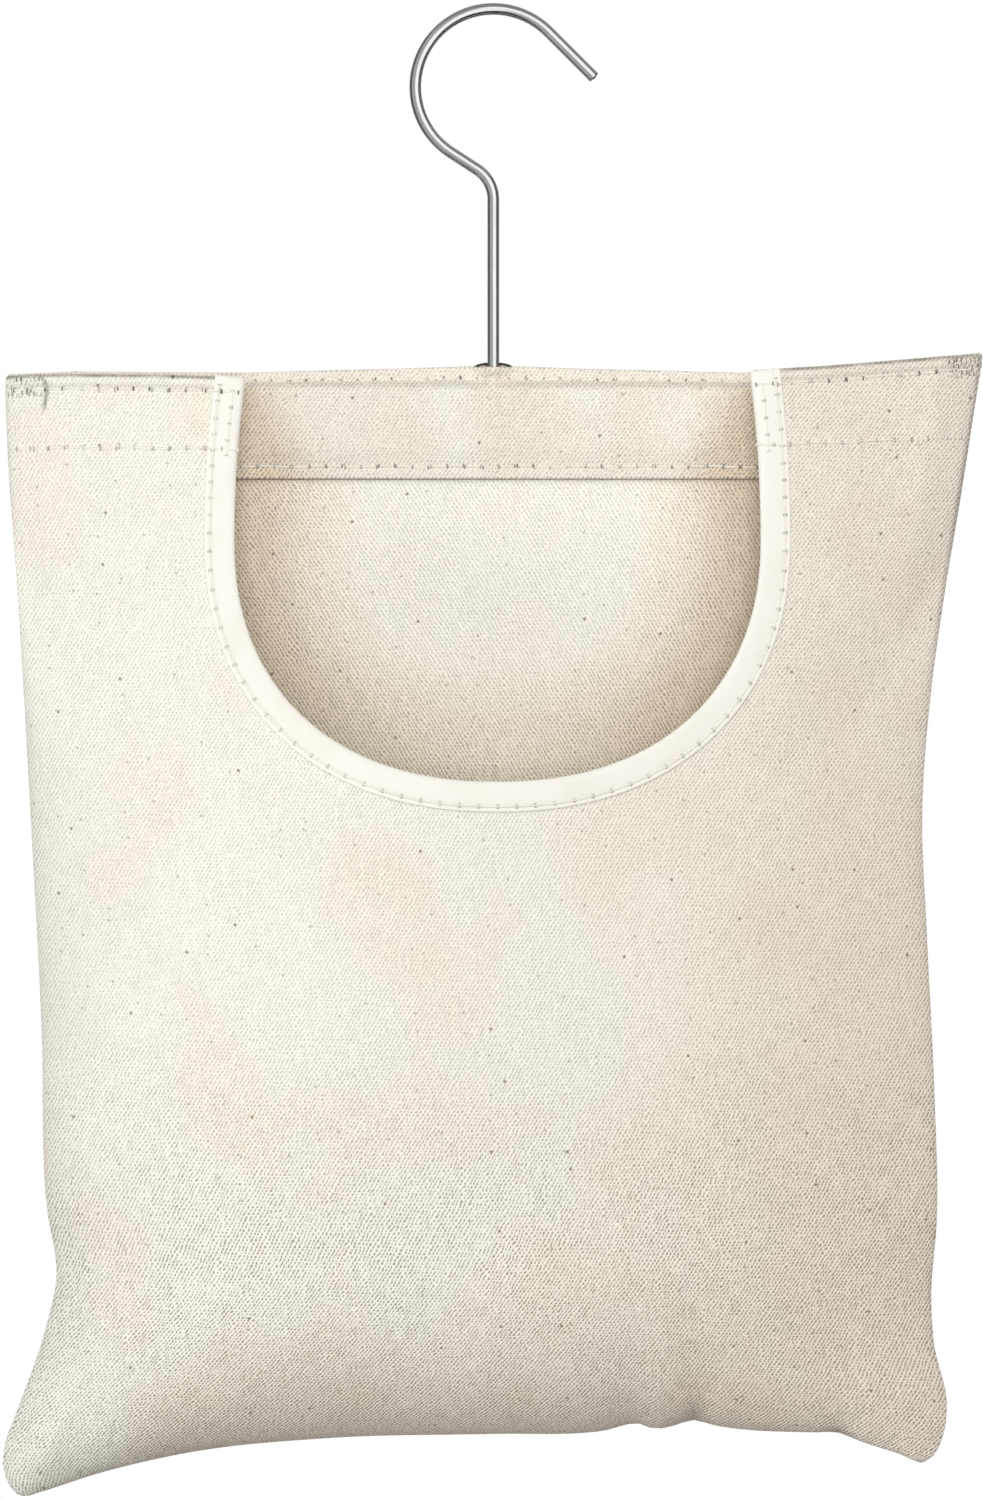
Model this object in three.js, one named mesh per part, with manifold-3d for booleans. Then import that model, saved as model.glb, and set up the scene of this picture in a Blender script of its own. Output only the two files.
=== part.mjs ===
// Cotton clothes-peg bag on a swivelling wire hook.
// Millimetres, +Z up, the bag's mouth faces -Y and +X is to its right.
// The origin is the hang point: the inside top of the hook's loop, above the stem.

import * as THREE from 'three';
import { mergeVertices } from 'three/addons/utils/BufferGeometryUtils.js';
import Module from 'manifold-3d';

const wasm = await Module();
wasm.setup();

// Clearances between neighbouring pieces
const GAP = 0.3;
const TAPE_GAP = 0.5;
const SWIVEL_GAP = 0.35;

// Hook: one steel wire, bent to a loop, a neck and a straight stem
const WIRE_DIAMETER = 4;
const HOOK_INNER_DIAMETER = 48;
const HOOK_TIP_ANGLE = 45;
const HOOK_TIP_LENGTH = 22;
const NECK_SLOPE = 33;
const NECK_BEND_RADIUS = 12;
const STEM_LENGTH = 56;
const HEAD_LIP = 1.25;
const HEAD_HEIGHT = 2.2;
const WASHER_RIM = 1.65;
const WASHER_THICKNESS = 0.8;

// Hanger bar: a rounded wooden batten in the hem tunnel
const BAR_HEIGHT = 16;
const BAR_THICKNESS = 9;
const BAR_EDGE_RADIUS = 4;
const BAR_END_BEVEL = 1;
const BAR_END_ROOM = 12;

// Cloth bag: its width along the bar, drops below its top edge, and how far each panel swells
const CLOTH = 1;
const TOP_WIDTH = 325;
const BOTTOM_DROP = 354;
const FRONT_BULGE = 50;
const BACK_BULGE = 30;
const FRONT_FULL_DROP = 150;
const BACK_FULL_DROP = 270;
const BOTTOM_ROUND = 60;
const SEAM_CLOSE = 30;
const MOUTH_FORWARD = 14;

// It hangs askew: each side seam has its own waist and ear, as distances from the stem,
// and heights of the waist above, and of the ear below, the bottom's middle
const LEFT_WAIST = 147;
const LEFT_WAIST_RISE = 54;
const LEFT_EAR = 162.5;
const LEFT_DROOP = 20;
const RIGHT_WAIST = 143.5;
const RIGHT_WAIST_RISE = 194;
const RIGHT_EAR = 151;
const RIGHT_DROOP = 10;

// Hems: the rows of stitches below each top edge, and the turned edge below the lower row
const HEADER = 4;
const TUNNEL_SHOULDER = 4;
const TUNNEL_EASE = 7;
const HEM_TURN = 4;
const FRONT_STEP = 3;
const FRONT_HEM = 26;
const SLIT_WIDTH = 12;

// Mouth in the front panel, and the tape that binds its edge
const MOUTH_WIDTH = 174;
const MOUTH_DEPTH = 134;
const MOUTH_ROUND = 80;
const TAPE_WIDTH = 9.5;
const TAPE_THICKNESS = 0.8;
const TAPE_STITCH_INSET = 1.8;

// Sewing thread
const THREAD_DIAMETER = 0.7;
const THREAD_END = 4;

// How finely round and soft forms are divided
const WIRE_SIDES = 12;
const WIRE_STEPS = 84;
const ROUND_SEGMENTS = 24;
const EDGE_SEGMENTS = 4;
const BAR_COLUMNS = 12;
const END_COLUMNS = 5;
const BACK_ROWS = { mouth: 8, belly: 1, round: 5 };
const FRONT_ROWS = { mouth: 12, belly: 4, round: 5 };
const THREAD_SIDES = 5;
const MOUTH_SIDE_STEPS = 6;
const MOUTH_ROUND_STEPS = 30;

// How the pillow swells between its seams, leaning to the left where it is full, and how its corners droop
const PILLOW_POWER = 0.65;
const PILLOW_SKEW = 0.33;
const DROOP_POWER = 3;
const WAIST_POWER = 1.7;
const EAR_POWER = 1.3;
const SEAM_POWER = 6;

const clamp01 = (value) => THREE.MathUtils.clamp(value, 0, 1);
const lerp = THREE.MathUtils.lerp;
const ease = (value) => THREE.MathUtils.smoothstep(value, 0, 1);

// The hook's loop, neck and stem, with the loop's centre straight above the stem
const neckSlope = THREE.MathUtils.degToRad(NECK_SLOPE);
const loopRadius = (HOOK_INNER_DIAMETER + WIRE_DIAMETER) / 2;
const loopCentreZ = -HOOK_INNER_DIAMETER / 2;
const bendReach = NECK_BEND_RADIUS * (1 - Math.sin(neckSlope));
const neckLength = (loopRadius * Math.sin(neckSlope) - bendReach) / Math.cos(neckSlope);
const neckEndZ = loopCentreZ - loopRadius * Math.cos(neckSlope) - neckLength * Math.sin(neckSlope);
const bendCentreZ = neckEndZ - NECK_BEND_RADIUS * Math.cos(neckSlope);
const bagTopZ = bendCentreZ - STEM_LENGTH;
const boreRadius = WIRE_DIAMETER / 2 + SWIVEL_GAP;
const washerRadius = boreRadius + WASHER_RIM;

// Places along the stem, as drops below the bag's top edge.
// The bar's rounded top seats in the V where the two layers of the tunnel part.
const lapHalf = (CLOTH + GAP) / 2;
const barHalf = Math.max(BAR_THICKNESS / 2, washerRadius) + GAP + CLOTH / 2;
const barEdge = Math.min(BAR_EDGE_RADIUS, BAR_THICKNESS / 2);
const shoulderRise = barHalf - lapHalf;
const shoulderLength = Math.hypot(shoulderRise, TUNNEL_SHOULDER);
const barCrown = BAR_THICKNESS / 2 - barEdge;
const crownClear = shoulderLength * (barEdge + GAP) + TUNNEL_SHOULDER * (barCrown - GAP / 2);
const barTopDrop = HEADER - barEdge + crownClear / shoulderRise;
const barBottomDrop = barTopDrop + BAR_HEIGHT;
const washerTopDrop = barBottomDrop + GAP;
const headTopDrop = washerTopDrop + WASHER_THICKNESS + GAP;
const headBottomDrop = headTopDrop + HEAD_HEIGHT;
const tunnelTopDrop = HEADER + TUNNEL_SHOULDER;
const tunnelEndDrop = headBottomDrop + GAP;
const tunnelCloseDrop = tunnelEndDrop + TUNNEL_EASE;
const hemStitchDrop = tunnelCloseDrop + THREAD_DIAMETER / 2;
const hemEdgeDrop = hemStitchDrop + HEM_TURN;
const frontStitchDrop = FRONT_STEP + HEADER;
const frontHemStitchDrop = FRONT_STEP + FRONT_HEM;
const frontHemEdgeDrop = frontHemStitchDrop + HEM_TURN;
const barEnd = 1 - BAR_END_ROOM / (TOP_WIDTH / 2);

// Distance from the tunnel's middle plane to the front panel, which leaves room for the tape behind it
const frontStandoff = CLOTH + GAP + TAPE_THICKNESS + TAPE_GAP + CLOTH + GAP;

function toSolid(geometry) {
  const bare = geometry.clone();
  bare.deleteAttribute('normal');
  bare.deleteAttribute('uv');
  const merged = mergeVertices(bare);
  return new wasm.Manifold(new wasm.Mesh({
    numProp: 3,
    vertProperties: new Float32Array(merged.attributes.position.array),
    triVerts: new Uint32Array(merged.index.array),
  }));
}

function toGeometry(solid) {
  const mesh = solid.getMesh();
  const geometry = new THREE.BufferGeometry();
  geometry.setAttribute('position', new THREE.BufferAttribute(mesh.vertProperties, 3));
  geometry.setIndex(new THREE.BufferAttribute(mesh.triVerts, 1));
  geometry.computeVertexNormals();
  return geometry;
}

const subtract = (body, tool) => toGeometry(toSolid(body).subtract(toSolid(tool)));
const join = (body, other) => toGeometry(toSolid(body).add(toSolid(other)));

function circle(radius, segments) {
  const points = [];
  for (let k = 0; k < segments; k += 1) {
    const angle = (2 * Math.PI * k) / segments;
    points.push(new THREE.Vector2(radius * Math.cos(angle), radius * Math.sin(angle)));
  }
  return new THREE.Shape(points);
}

// Upright prism of a plan shape, from one drop below the bag's top edge to another
function prism(shape, topDrop, bottomDrop) {
  const options = { depth: bottomDrop - topDrop, bevelEnabled: false, curveSegments: ROUND_SEGMENTS };
  return new THREE.ExtrudeGeometry(shape, options).translate(0, 0, -bottomDrop);
}

// A sheet with a thickness, from a grid of points on its middle surface.
// The grid's normals carry both faces, and the grid's border is closed by a rim.
// On a seam the normal is turned to face the other panel squarely.
function thickSheet(grid, thickness, onSeam) {
  const lastColumn = grid.length - 1;
  const lastRow = grid[0].length - 1;
  const rowCount = lastRow + 1;
  const faceSize = grid.length * rowCount;
  const points = new Float32Array(faceSize * 6);
  const across = new THREE.Vector3();
  const along = new THREE.Vector3();
  const normal = new THREE.Vector3();
  for (let i = 0; i <= lastColumn; i += 1) {
    for (let k = 0; k <= lastRow; k += 1) {
      across.subVectors(grid[Math.min(i + 1, lastColumn)][k], grid[Math.max(i - 1, 0)][k]);
      along.subVectors(grid[i][Math.min(k + 1, lastRow)], grid[i][Math.max(k - 1, 0)]);
      normal.crossVectors(across, along).normalize();
      if (onSeam(i, k)) {
        normal.set(0, Math.sign(normal.y), 0);
      }
      normal.multiplyScalar(thickness / 2);
      const vertex = i * rowCount + k;
      grid[i][k].clone().add(normal).toArray(points, vertex * 3);
      grid[i][k].clone().sub(normal).toArray(points, (vertex + faceSize) * 3);
    }
  }
  const triangles = [];
  const quad = (a, b, c, d) => triangles.push(a, b, c, a, c, d);
  for (let i = 0; i < lastColumn; i += 1) {
    for (let k = 0; k < lastRow; k += 1) {
      const a = i * rowCount + k;
      const b = a + rowCount;
      quad(a, b, b + 1, a + 1);
      quad(a + faceSize, a + 1 + faceSize, b + 1 + faceSize, b + faceSize);
    }
  }
  const border = [];
  for (let i = 0; i < lastColumn; i += 1) border.push(i * rowCount);
  for (let k = 0; k < lastRow; k += 1) border.push(lastColumn * rowCount + k);
  for (let i = lastColumn; i > 0; i -= 1) border.push(i * rowCount + lastRow);
  for (let k = lastRow; k > 0; k -= 1) border.push(k);
  border.forEach((a, step) => {
    const b = border[(step + 1) % border.length];
    quad(b, a, a + faceSize, b + faceSize);
  });
  const geometry = new THREE.BufferGeometry();
  geometry.setAttribute('position', new THREE.BufferAttribute(points, 3));
  geometry.setIndex(triangles);
  geometry.computeVertexNormals();
  return geometry;
}

// The bag's form, at a share u of the half width (-1 to 1) and a drop below the top edge

const leftSide = { waist: LEFT_WAIST, rise: LEFT_WAIST_RISE, ear: LEFT_EAR, droop: LEFT_DROOP };
const rightSide = { waist: RIGHT_WAIST, rise: RIGHT_WAIST_RISE, ear: RIGHT_EAR, droop: RIGHT_DROOP };
const sideOf = (u) => (u < 0 ? leftSide : rightSide);

// Distance from the stem to the side seam, on the side that u lies on
function halfWidth(u, drop) {
  const { waist, rise, ear, droop } = sideOf(u);
  const waistDrop = BOTTOM_DROP - rise;
  if (drop < waistDrop) {
    return lerp(waist, TOP_WIDTH / 2, (1 - drop / waistDrop) ** WAIST_POWER);
  }
  const flare = clamp01((drop - waistDrop) / (rise + droop)) ** EAR_POWER;
  return lerp(waist, ear, flare);
}

function bottomDrop(u) {
  return BOTTOM_DROP + sideOf(u).droop * Math.abs(u) ** DROOP_POWER;
}

// Half the depth of the tunnel: full along the bar, closing to two lapped layers at the side seams
function tunnelHalf(u) {
  return lerp(lapHalf, barHalf, ease((1 - Math.abs(u)) / (1 - barEnd)));
}

// A soft rise from nothing at the hem's edge to 1 at a drop below it
const riseTo = (fullDrop, drop) => ease((drop - hemEdgeDrop) / (fullDrop - hemEdgeDrop));

// Swelling of a panel: none at the hem and the seams, full over the belly, rounded at the bottom
function fullness(u, drop, fullDrop) {
  const low = clamp01(1 - (bottomDrop(u) - drop) / BOTTOM_ROUND);
  const across = u + PILLOW_SKEW * riseTo(FRONT_FULL_DROP, drop) * (1 - u * u);
  return riseTo(fullDrop, drop) * Math.sqrt(1 - low * low) * (1 - across * across) ** PILLOW_POWER;
}

function backY(u, drop) {
  return lapHalf + BACK_BULGE * fullness(u, drop, BACK_FULL_DROP);
}

// The front hangs before the tunnel, and its free edges at the mouth stand forward of that.
// Below the hems it closes on the back, soonest at the side seams.
function frontY(u, drop) {
  const forward = MOUTH_FORWARD * ease((1 - Math.abs(u)) / (1 - MOUTH_WIDTH / TOP_WIDTH));
  const closeLength = lerp(FRONT_FULL_DROP - hemEdgeDrop, SEAM_CLOSE, u ** SEAM_POWER);
  const fall = ease((drop - hemEdgeDrop) / closeLength);
  const hang = lerp(tunnelHalf(u) + frontStandoff + forward, lapHalf, fall);
  return -hang - FRONT_BULGE * fullness(u, drop, FRONT_FULL_DROP);
}

const frontYAt = (x, drop) => frontY(x / halfWidth(x, drop), drop);

// Columns of a panel's grid: even along the bar, and closer from its ends to the side seams
function columnShares() {
  const right = [];
  for (let k = 1; k <= BAR_COLUMNS; k += 1) right.push((barEnd * k) / BAR_COLUMNS);
  for (let k = 1; k <= END_COLUMNS; k += 1) right.push(lerp(barEnd, 1, k / END_COLUMNS));
  return [...right.map((u) => -u).reverse(), 0, ...right];
}

// Drops of the rows below a hem: even to the full belly, wider down to the round, then closing on the seam
function lowerDrops(u, startDrop, fullDrop, rows) {
  const roundTop = bottomDrop(u) - BOTTOM_ROUND;
  const drops = [];
  for (let k = 1; k <= rows.mouth; k += 1) drops.push(lerp(startDrop, fullDrop, k / rows.mouth));
  for (let k = 1; k <= rows.belly; k += 1) drops.push(lerp(fullDrop, roundTop, k / rows.belly));
  for (let k = 1; k <= rows.round; k += 1) {
    drops.push(roundTop + BOTTOM_ROUND * Math.sin((Math.PI / 2) * (k / rows.round)));
  }
  return drops;
}

// The fold at the top of a hem: a half turn from the inner layer to the outer one
function foldRows(middleY, topDrop, side) {
  const rows = [];
  for (let k = 1; k < EDGE_SEGMENTS; k += 1) {
    const angle = (Math.PI * k) / EDGE_SEGMENTS;
    const drop = topDrop + CLOTH / 2 + lapHalf * (1 - Math.sin(angle));
    rows.push([middleY - side * lapHalf * Math.cos(angle), drop]);
  }
  return rows;
}

const foldDrop = CLOTH / 2 + lapHalf;

// Back panel in section: up the inside of the hem, over the fold, and down the back to the bottom seam
function backSection(u) {
  const tunnel = tunnelHalf(u);
  const layer = [
    [lapHalf, foldDrop],
    [lapHalf, HEADER],
    [tunnel, tunnelTopDrop],
    [tunnel, tunnelEndDrop],
    [lapHalf, tunnelCloseDrop],
    [lapHalf, hemEdgeDrop],
  ];
  const inner = layer.map(([y, drop]) => [-y, drop]).reverse();
  const hem = [...inner, ...foldRows(0, 0, 1), ...layer];
  const drops = lowerDrops(u, hemEdgeDrop, BACK_FULL_DROP, BACK_ROWS);
  return { hem, lower: drops.map((drop) => [backY(u, drop), drop]) };
}

// Front panel in section: up its own hem on the inside, over the fold, and down the front
function frontSection(u) {
  const outerY = frontY(u, FRONT_STEP);
  const innerY = outerY + CLOTH + GAP;
  const layer = [FRONT_STEP + foldDrop, frontStitchDrop, frontHemStitchDrop, frontHemEdgeDrop];
  const inner = layer.map((drop) => [innerY, drop]).reverse();
  const outer = layer.map((drop) => [outerY, drop]);
  const hem = [...inner, ...foldRows((innerY + outerY) / 2, FRONT_STEP, -1), ...outer];
  const drops = lowerDrops(u, frontHemEdgeDrop, FRONT_FULL_DROP, FRONT_ROWS);
  return { hem, lower: drops.map((drop) => [frontY(u, drop), drop]) };
}

function panelSheet(section) {
  const grid = columnShares().map((u) => {
    const { hem, lower } = section(u);
    return [...hem, ...lower].map(([y, drop]) => new THREE.Vector3(u * halfWidth(u, drop), y, -drop));
  });
  const hemRows = section(0).hem.length;
  const lastColumn = grid.length - 1;
  const lastRow = grid[0].length - 1;
  const onSeam = (i, k) => k === lastRow || (k >= hemRows && (i === 0 || i === lastColumn));
  return thickSheet(grid, CLOTH, onSeam);
}

function makeBackPanel() {
  const sheet = panelSheet(backSection);
  const slit = new THREE.Shape();
  slit.absellipse(0, 0, SLIT_WIDTH / 2, boreRadius, 0, 2 * Math.PI);
  return subtract(sheet, prism(slit, -CLOTH, tunnelTopDrop));
}

// The U of the mouth, set out by a margin from its finished edge
function mouthCutter(margin) {
  const half = MOUTH_WIDTH / 2 + margin;
  const roundDrop = FRONT_STEP + MOUTH_DEPTH - MOUTH_ROUND;
  const reach = FRONT_BULGE + MOUTH_FORWARD + barHalf + frontStandoff + TAPE_WIDTH;
  const shape = new THREE.Shape();
  shape.moveTo(half, HEADER);
  shape.lineTo(-half, HEADER);
  shape.lineTo(-half, -roundDrop);
  shape.absellipse(0, -roundDrop, half, MOUTH_ROUND + margin, Math.PI, 2 * Math.PI);
  const options = { depth: reach, bevelEnabled: false, curveSegments: MOUTH_ROUND_STEPS };
  return new THREE.ExtrudeGeometry(shape, options).rotateX(Math.PI / 2);
}

// Half the distance between the tape's two legs, over one layer of cloth and over the hem's two
const tapeLegHalf = (layers) => (layers * CLOTH + (layers - 1) * GAP + TAPE_THICKNESS) / 2 + TAPE_GAP;
const rawEdgeSet = TAPE_THICKNESS / 2 + tapeLegHalf(2);

function makeFrontPanel() {
  return subtract(panelSheet(frontSection), mouthCutter(rawEdgeSet));
}

// Points round the mouth from its top left to its top right, each with the direction into the cloth
function mouthPath() {
  const half = MOUTH_WIDTH / 2;
  const roundDrop = FRONT_STEP + MOUTH_DEPTH - MOUTH_ROUND;
  const stops = [];
  for (let k = 0; k < MOUTH_SIDE_STEPS; k += 1) {
    stops.push({ x: -half, drop: lerp(FRONT_STEP, roundDrop, k / MOUTH_SIDE_STEPS), outX: -1, outDrop: 0 });
  }
  for (let k = 0; k <= MOUTH_ROUND_STEPS; k += 1) {
    const angle = Math.PI * (1 - k / MOUTH_ROUND_STEPS);
    const slope = new THREE.Vector2(Math.cos(angle) / half, Math.sin(angle) / MOUTH_ROUND).normalize();
    const drop = roundDrop + MOUTH_ROUND * Math.sin(angle);
    stops.push({ x: half * Math.cos(angle), drop, outX: slope.x, outDrop: slope.y });
  }
  for (let k = 1; k <= MOUTH_SIDE_STEPS; k += 1) {
    stops.push({ x: half, drop: lerp(roundDrop, FRONT_STEP, k / MOUTH_SIDE_STEPS), outX: 1, outDrop: 0 });
  }
  return stops;
}

// A point beside the mouth: set into the cloth from its edge, and forward or back of the panel
function besideMouth(stop, set, offset) {
  const x = stop.x + set * stop.outX;
  const drop = stop.drop + set * stop.outDrop;
  return new THREE.Vector3(x, frontYAt(x, drop) + offset(drop), -drop);
}

// Binding tape: folded over the mouth's raw edge, with a leg on each face of the front panel
function makeBinding() {
  const layersAt = (drop) => 2 - ease((drop - frontHemEdgeDrop) / TAPE_WIDTH - 1);
  const frontLeg = -(CLOTH / 2 + TAPE_GAP + TAPE_THICKNESS / 2);
  const across = (turn) => (drop) => frontLeg + tapeLegHalf(layersAt(drop)) * (1 - Math.cos(turn));
  const grid = mouthPath().map((stop) => {
    const legHalf = tapeLegHalf(layersAt(stop.drop));
    const foldSet = TAPE_THICKNESS / 2 + legHalf;
    const sets = [TAPE_WIDTH, (TAPE_WIDTH + foldSet) / 2, foldSet];
    const front = sets.map((set) => besideMouth(stop, set, across(0)));
    const back = sets.map((set) => besideMouth(stop, set, across(Math.PI))).reverse();
    const fold = [];
    for (let k = 1; k < EDGE_SEGMENTS; k += 1) {
      const turn = (Math.PI * k) / EDGE_SEGMENTS;
      fold.push(besideMouth(stop, foldSet - legHalf * Math.sin(turn), across(turn)));
    }
    return [...front, ...fold, ...back];
  });
  return thickSheet(grid, TAPE_THICKNESS, () => false);
}

// A line that turns only at its points, so that a thread bends where the cloth under it does
class ThreadCurve extends THREE.Curve {
  constructor(points) {
    super();
    this.points = points;
  }

  getPoint(t, target = new THREE.Vector3()) {
    const place = t * (this.points.length - 1);
    const step = Math.min(Math.floor(place), this.points.length - 2);
    return target.lerpVectors(this.points[step], this.points[step + 1], place - step);
  }

  getPointAt(t, target) {
    return this.getPoint(t, target);
  }

  getTangentAt(t, target) {
    return this.getTangent(t, target);
  }
}

// A row of sewing thread through points on a cloth face
function threadRow(points) {
  const curve = new ThreadCurve(points);
  const options = { steps: points.length - 1, bevelEnabled: false, extrudePath: curve };
  return new THREE.ExtrudeGeometry(circle(THREAD_DIAMETER / 2, THREAD_SIDES), options);
}

// A level row of stitches between two places across the bag, on a face given by its depth
function levelRow(fromX, toX, drop, faceY) {
  const within = columnShares().map((u) => u * halfWidth(u, drop)).filter((x) => x > fromX && x < toX);
  const stand = CLOTH / 2 + GAP + THREAD_DIAMETER / 2;
  const onFace = (x) => new THREE.Vector3(x, faceY(x / halfWidth(x, drop), drop) - stand, -drop);
  return threadRow([fromX, ...within, toX].map(onFace));
}

function makeBindingStitch() {
  const forward = -(CLOTH / 2 + TAPE_GAP + TAPE_THICKNESS + GAP + THREAD_DIAMETER / 2);
  const inset = TAPE_WIDTH - TAPE_STITCH_INSET;
  return threadRow(mouthPath().map((stop) => besideMouth(stop, inset, () => forward)));
}

// The hook's wire: straight tip, loop, sloping neck and stem, drawn in its own upright plane
class UprightCurve extends THREE.Curve {
  constructor(path) {
    super();
    this.path = path;
  }

  getPoint(t, target = new THREE.Vector3()) {
    const point = this.path.getPoint(t);
    return target.set(point.x, 0, point.y);
  }
}

function hookPath(stemBottom) {
  const tipAngle = Math.PI / 2 - THREE.MathUtils.degToRad(HOOK_TIP_ANGLE);
  const tipStartX = loopRadius * Math.cos(tipAngle);
  const tipStartZ = loopCentreZ + loopRadius * Math.sin(tipAngle);
  const tipRun = HOOK_TIP_LENGTH * Math.sin(tipAngle);
  const tipFall = HOOK_TIP_LENGTH * Math.cos(tipAngle);
  const path = new THREE.Path();
  path.moveTo(tipStartX + tipRun, tipStartZ - tipFall);
  path.lineTo(tipStartX, tipStartZ);
  path.absarc(0, loopCentreZ, loopRadius, tipAngle, 1.5 * Math.PI - neckSlope);
  path.lineTo(-bendReach, neckEndZ);
  path.absarc(-NECK_BEND_RADIUS, bendCentreZ, NECK_BEND_RADIUS, Math.PI / 2 - neckSlope, 0, true);
  path.lineTo(0, stemBottom);
  return path;
}

// The wire's lower end is peened to a round head, which carries the bar
function makeHook() {
  const headBottom = bagTopZ - headBottomDrop;
  const curve = new UprightCurve(hookPath(headBottom + HEAD_HEIGHT / 2));
  const options = { steps: WIRE_STEPS, bevelEnabled: false, extrudePath: curve };
  const wire = new THREE.ExtrudeGeometry(circle(WIRE_DIAMETER / 2, WIRE_SIDES), options);
  const headRadius = WIRE_DIAMETER / 2 + HEAD_LIP;
  const crown = HEAD_HEIGHT / 2;
  const profile = new THREE.Path();
  profile.moveTo(0, 0);
  profile.lineTo(headRadius - crown, 0);
  profile.absarc(headRadius - crown, crown, crown, -Math.PI / 2, 0);
  profile.lineTo(headRadius, HEAD_HEIGHT);
  profile.lineTo(0, HEAD_HEIGHT);
  const head = new THREE.LatheGeometry(profile.getPoints(EDGE_SEGMENTS), ROUND_SEGMENTS);
  return join(wire, head.rotateX(Math.PI / 2).translate(0, 0, headBottom));
}

function makeWasher() {
  const ring = circle(washerRadius, ROUND_SEGMENTS);
  ring.holes.push(circle(boreRadius, ROUND_SEGMENTS));
  return prism(ring, washerTopDrop, washerTopDrop + WASHER_THICKNESS);
}

// Bar: a batten with rounded long edges and bevelled ends, bored for the hook's stem
function makeBar() {
  const flank = BAR_HEIGHT / 2 - barEdge;
  const section = new THREE.Shape();
  section.absarc(barCrown, flank, barEdge, 0, Math.PI / 2);
  section.absarc(-barCrown, flank, barEdge, Math.PI / 2, Math.PI);
  section.absarc(-barCrown, -flank, barEdge, Math.PI, 1.5 * Math.PI);
  section.absarc(barCrown, -flank, barEdge, 1.5 * Math.PI, 2 * Math.PI);
  const reach = barEnd * Math.min(halfWidth(-1, barBottomDrop), halfWidth(1, barBottomDrop));
  const straight = 2 * (reach - BAR_END_BEVEL);
  const batten = new THREE.ExtrudeGeometry(section, {
    depth: straight,
    curveSegments: EDGE_SEGMENTS,
    bevelThickness: BAR_END_BEVEL,
    bevelSize: BAR_END_BEVEL,
    bevelOffset: -BAR_END_BEVEL,
    bevelSegments: 1,
  });
  batten.translate(0, 0, -straight / 2).rotateX(Math.PI / 2).rotateZ(Math.PI / 2);
  batten.translate(0, 0, -(barTopDrop + barBottomDrop) / 2);
  const bore = prism(circle(boreRadius, ROUND_SEGMENTS), barTopDrop - GAP, barBottomDrop + GAP);
  return subtract(batten, bore);
}

const steel = { color: 0xb9bbbd, roughness: 0.18, metalness: 1 };
const beech = { color: 0xc9a878, roughness: 0.6, metalness: 0 };
const cotton = { color: 0xe9e3d3, roughness: 0.9, metalness: 0 };
const whiteTape = { color: 0xf5f2e6, roughness: 0.85, metalness: 0 };
const sewingThread = { color: 0xe4ddca, roughness: 0.8, metalness: 0 };

function part(name, geometry, look) {
  const mesh = new THREE.Mesh(geometry, new THREE.MeshStandardMaterial(look));
  mesh.name = name;
  return mesh;
}

const hemFace = () => -lapHalf;
const rowStart = (drop) => THREAD_END - halfWidth(-1, drop);
const rowEnd = (drop) => halfWidth(1, drop) - THREAD_END;
const hemRowSpan = [rowStart(hemStitchDrop), rowEnd(hemStitchDrop)];
const slitEnd = SLIT_WIDTH / 2 + THREAD_DIAMETER;
const tapeSide = MOUTH_WIDTH / 2 + TAPE_WIDTH + THREAD_DIAMETER;

const bag = new THREE.Group();
bag.position.z = bagTopZ;
bag.add(
  part('hanger_bar', makeBar(), beech),
  part('hook_washer', makeWasher(), steel),
  part('back_panel', makeBackPanel(), cotton),
  part('front_panel', makeFrontPanel(), cotton),
  part('mouth_binding', makeBinding(), whiteTape),
  part('binding_stitch', makeBindingStitch(), sewingThread),
  part('back_hem_stitch', levelRow(...hemRowSpan, hemStitchDrop, hemFace), sewingThread),
);
for (const [name, drop] of [['top', frontStitchDrop], ['hem', frontHemStitchDrop]]) {
  bag.add(
    part(`front_${name}_stitch_left`, levelRow(rowStart(drop), -tapeSide, drop, frontY), sewingThread),
    part(`front_${name}_stitch_right`, levelRow(tapeSide, rowEnd(drop), drop, frontY), sewingThread),
  );
}
const headerRow = HEADER - THREAD_DIAMETER / 2;
bag.add(
  part('back_top_stitch_left', levelRow(rowStart(headerRow), -slitEnd, headerRow, hemFace), sewingThread),
  part('back_top_stitch_right', levelRow(slitEnd, rowEnd(headerRow), headerRow, hemFace), sewingThread),
);

const pegBag = new THREE.Group();
pegBag.name = 'peg_bag';
pegBag.add(part('wire_hook', makeHook(), steel), bag);

export default pegBag;
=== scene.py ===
# %% [markdown]
# A clothes-peg bag: two panels of cotton twill sewn into a flat pocket, hung from a wooden bar
# by a wire hook. The solid model gives every size and place, so this lesson starts by loading it
# and keeping its box. Lengths below are in millimetres, and a mesh is turned into metres last.

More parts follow.
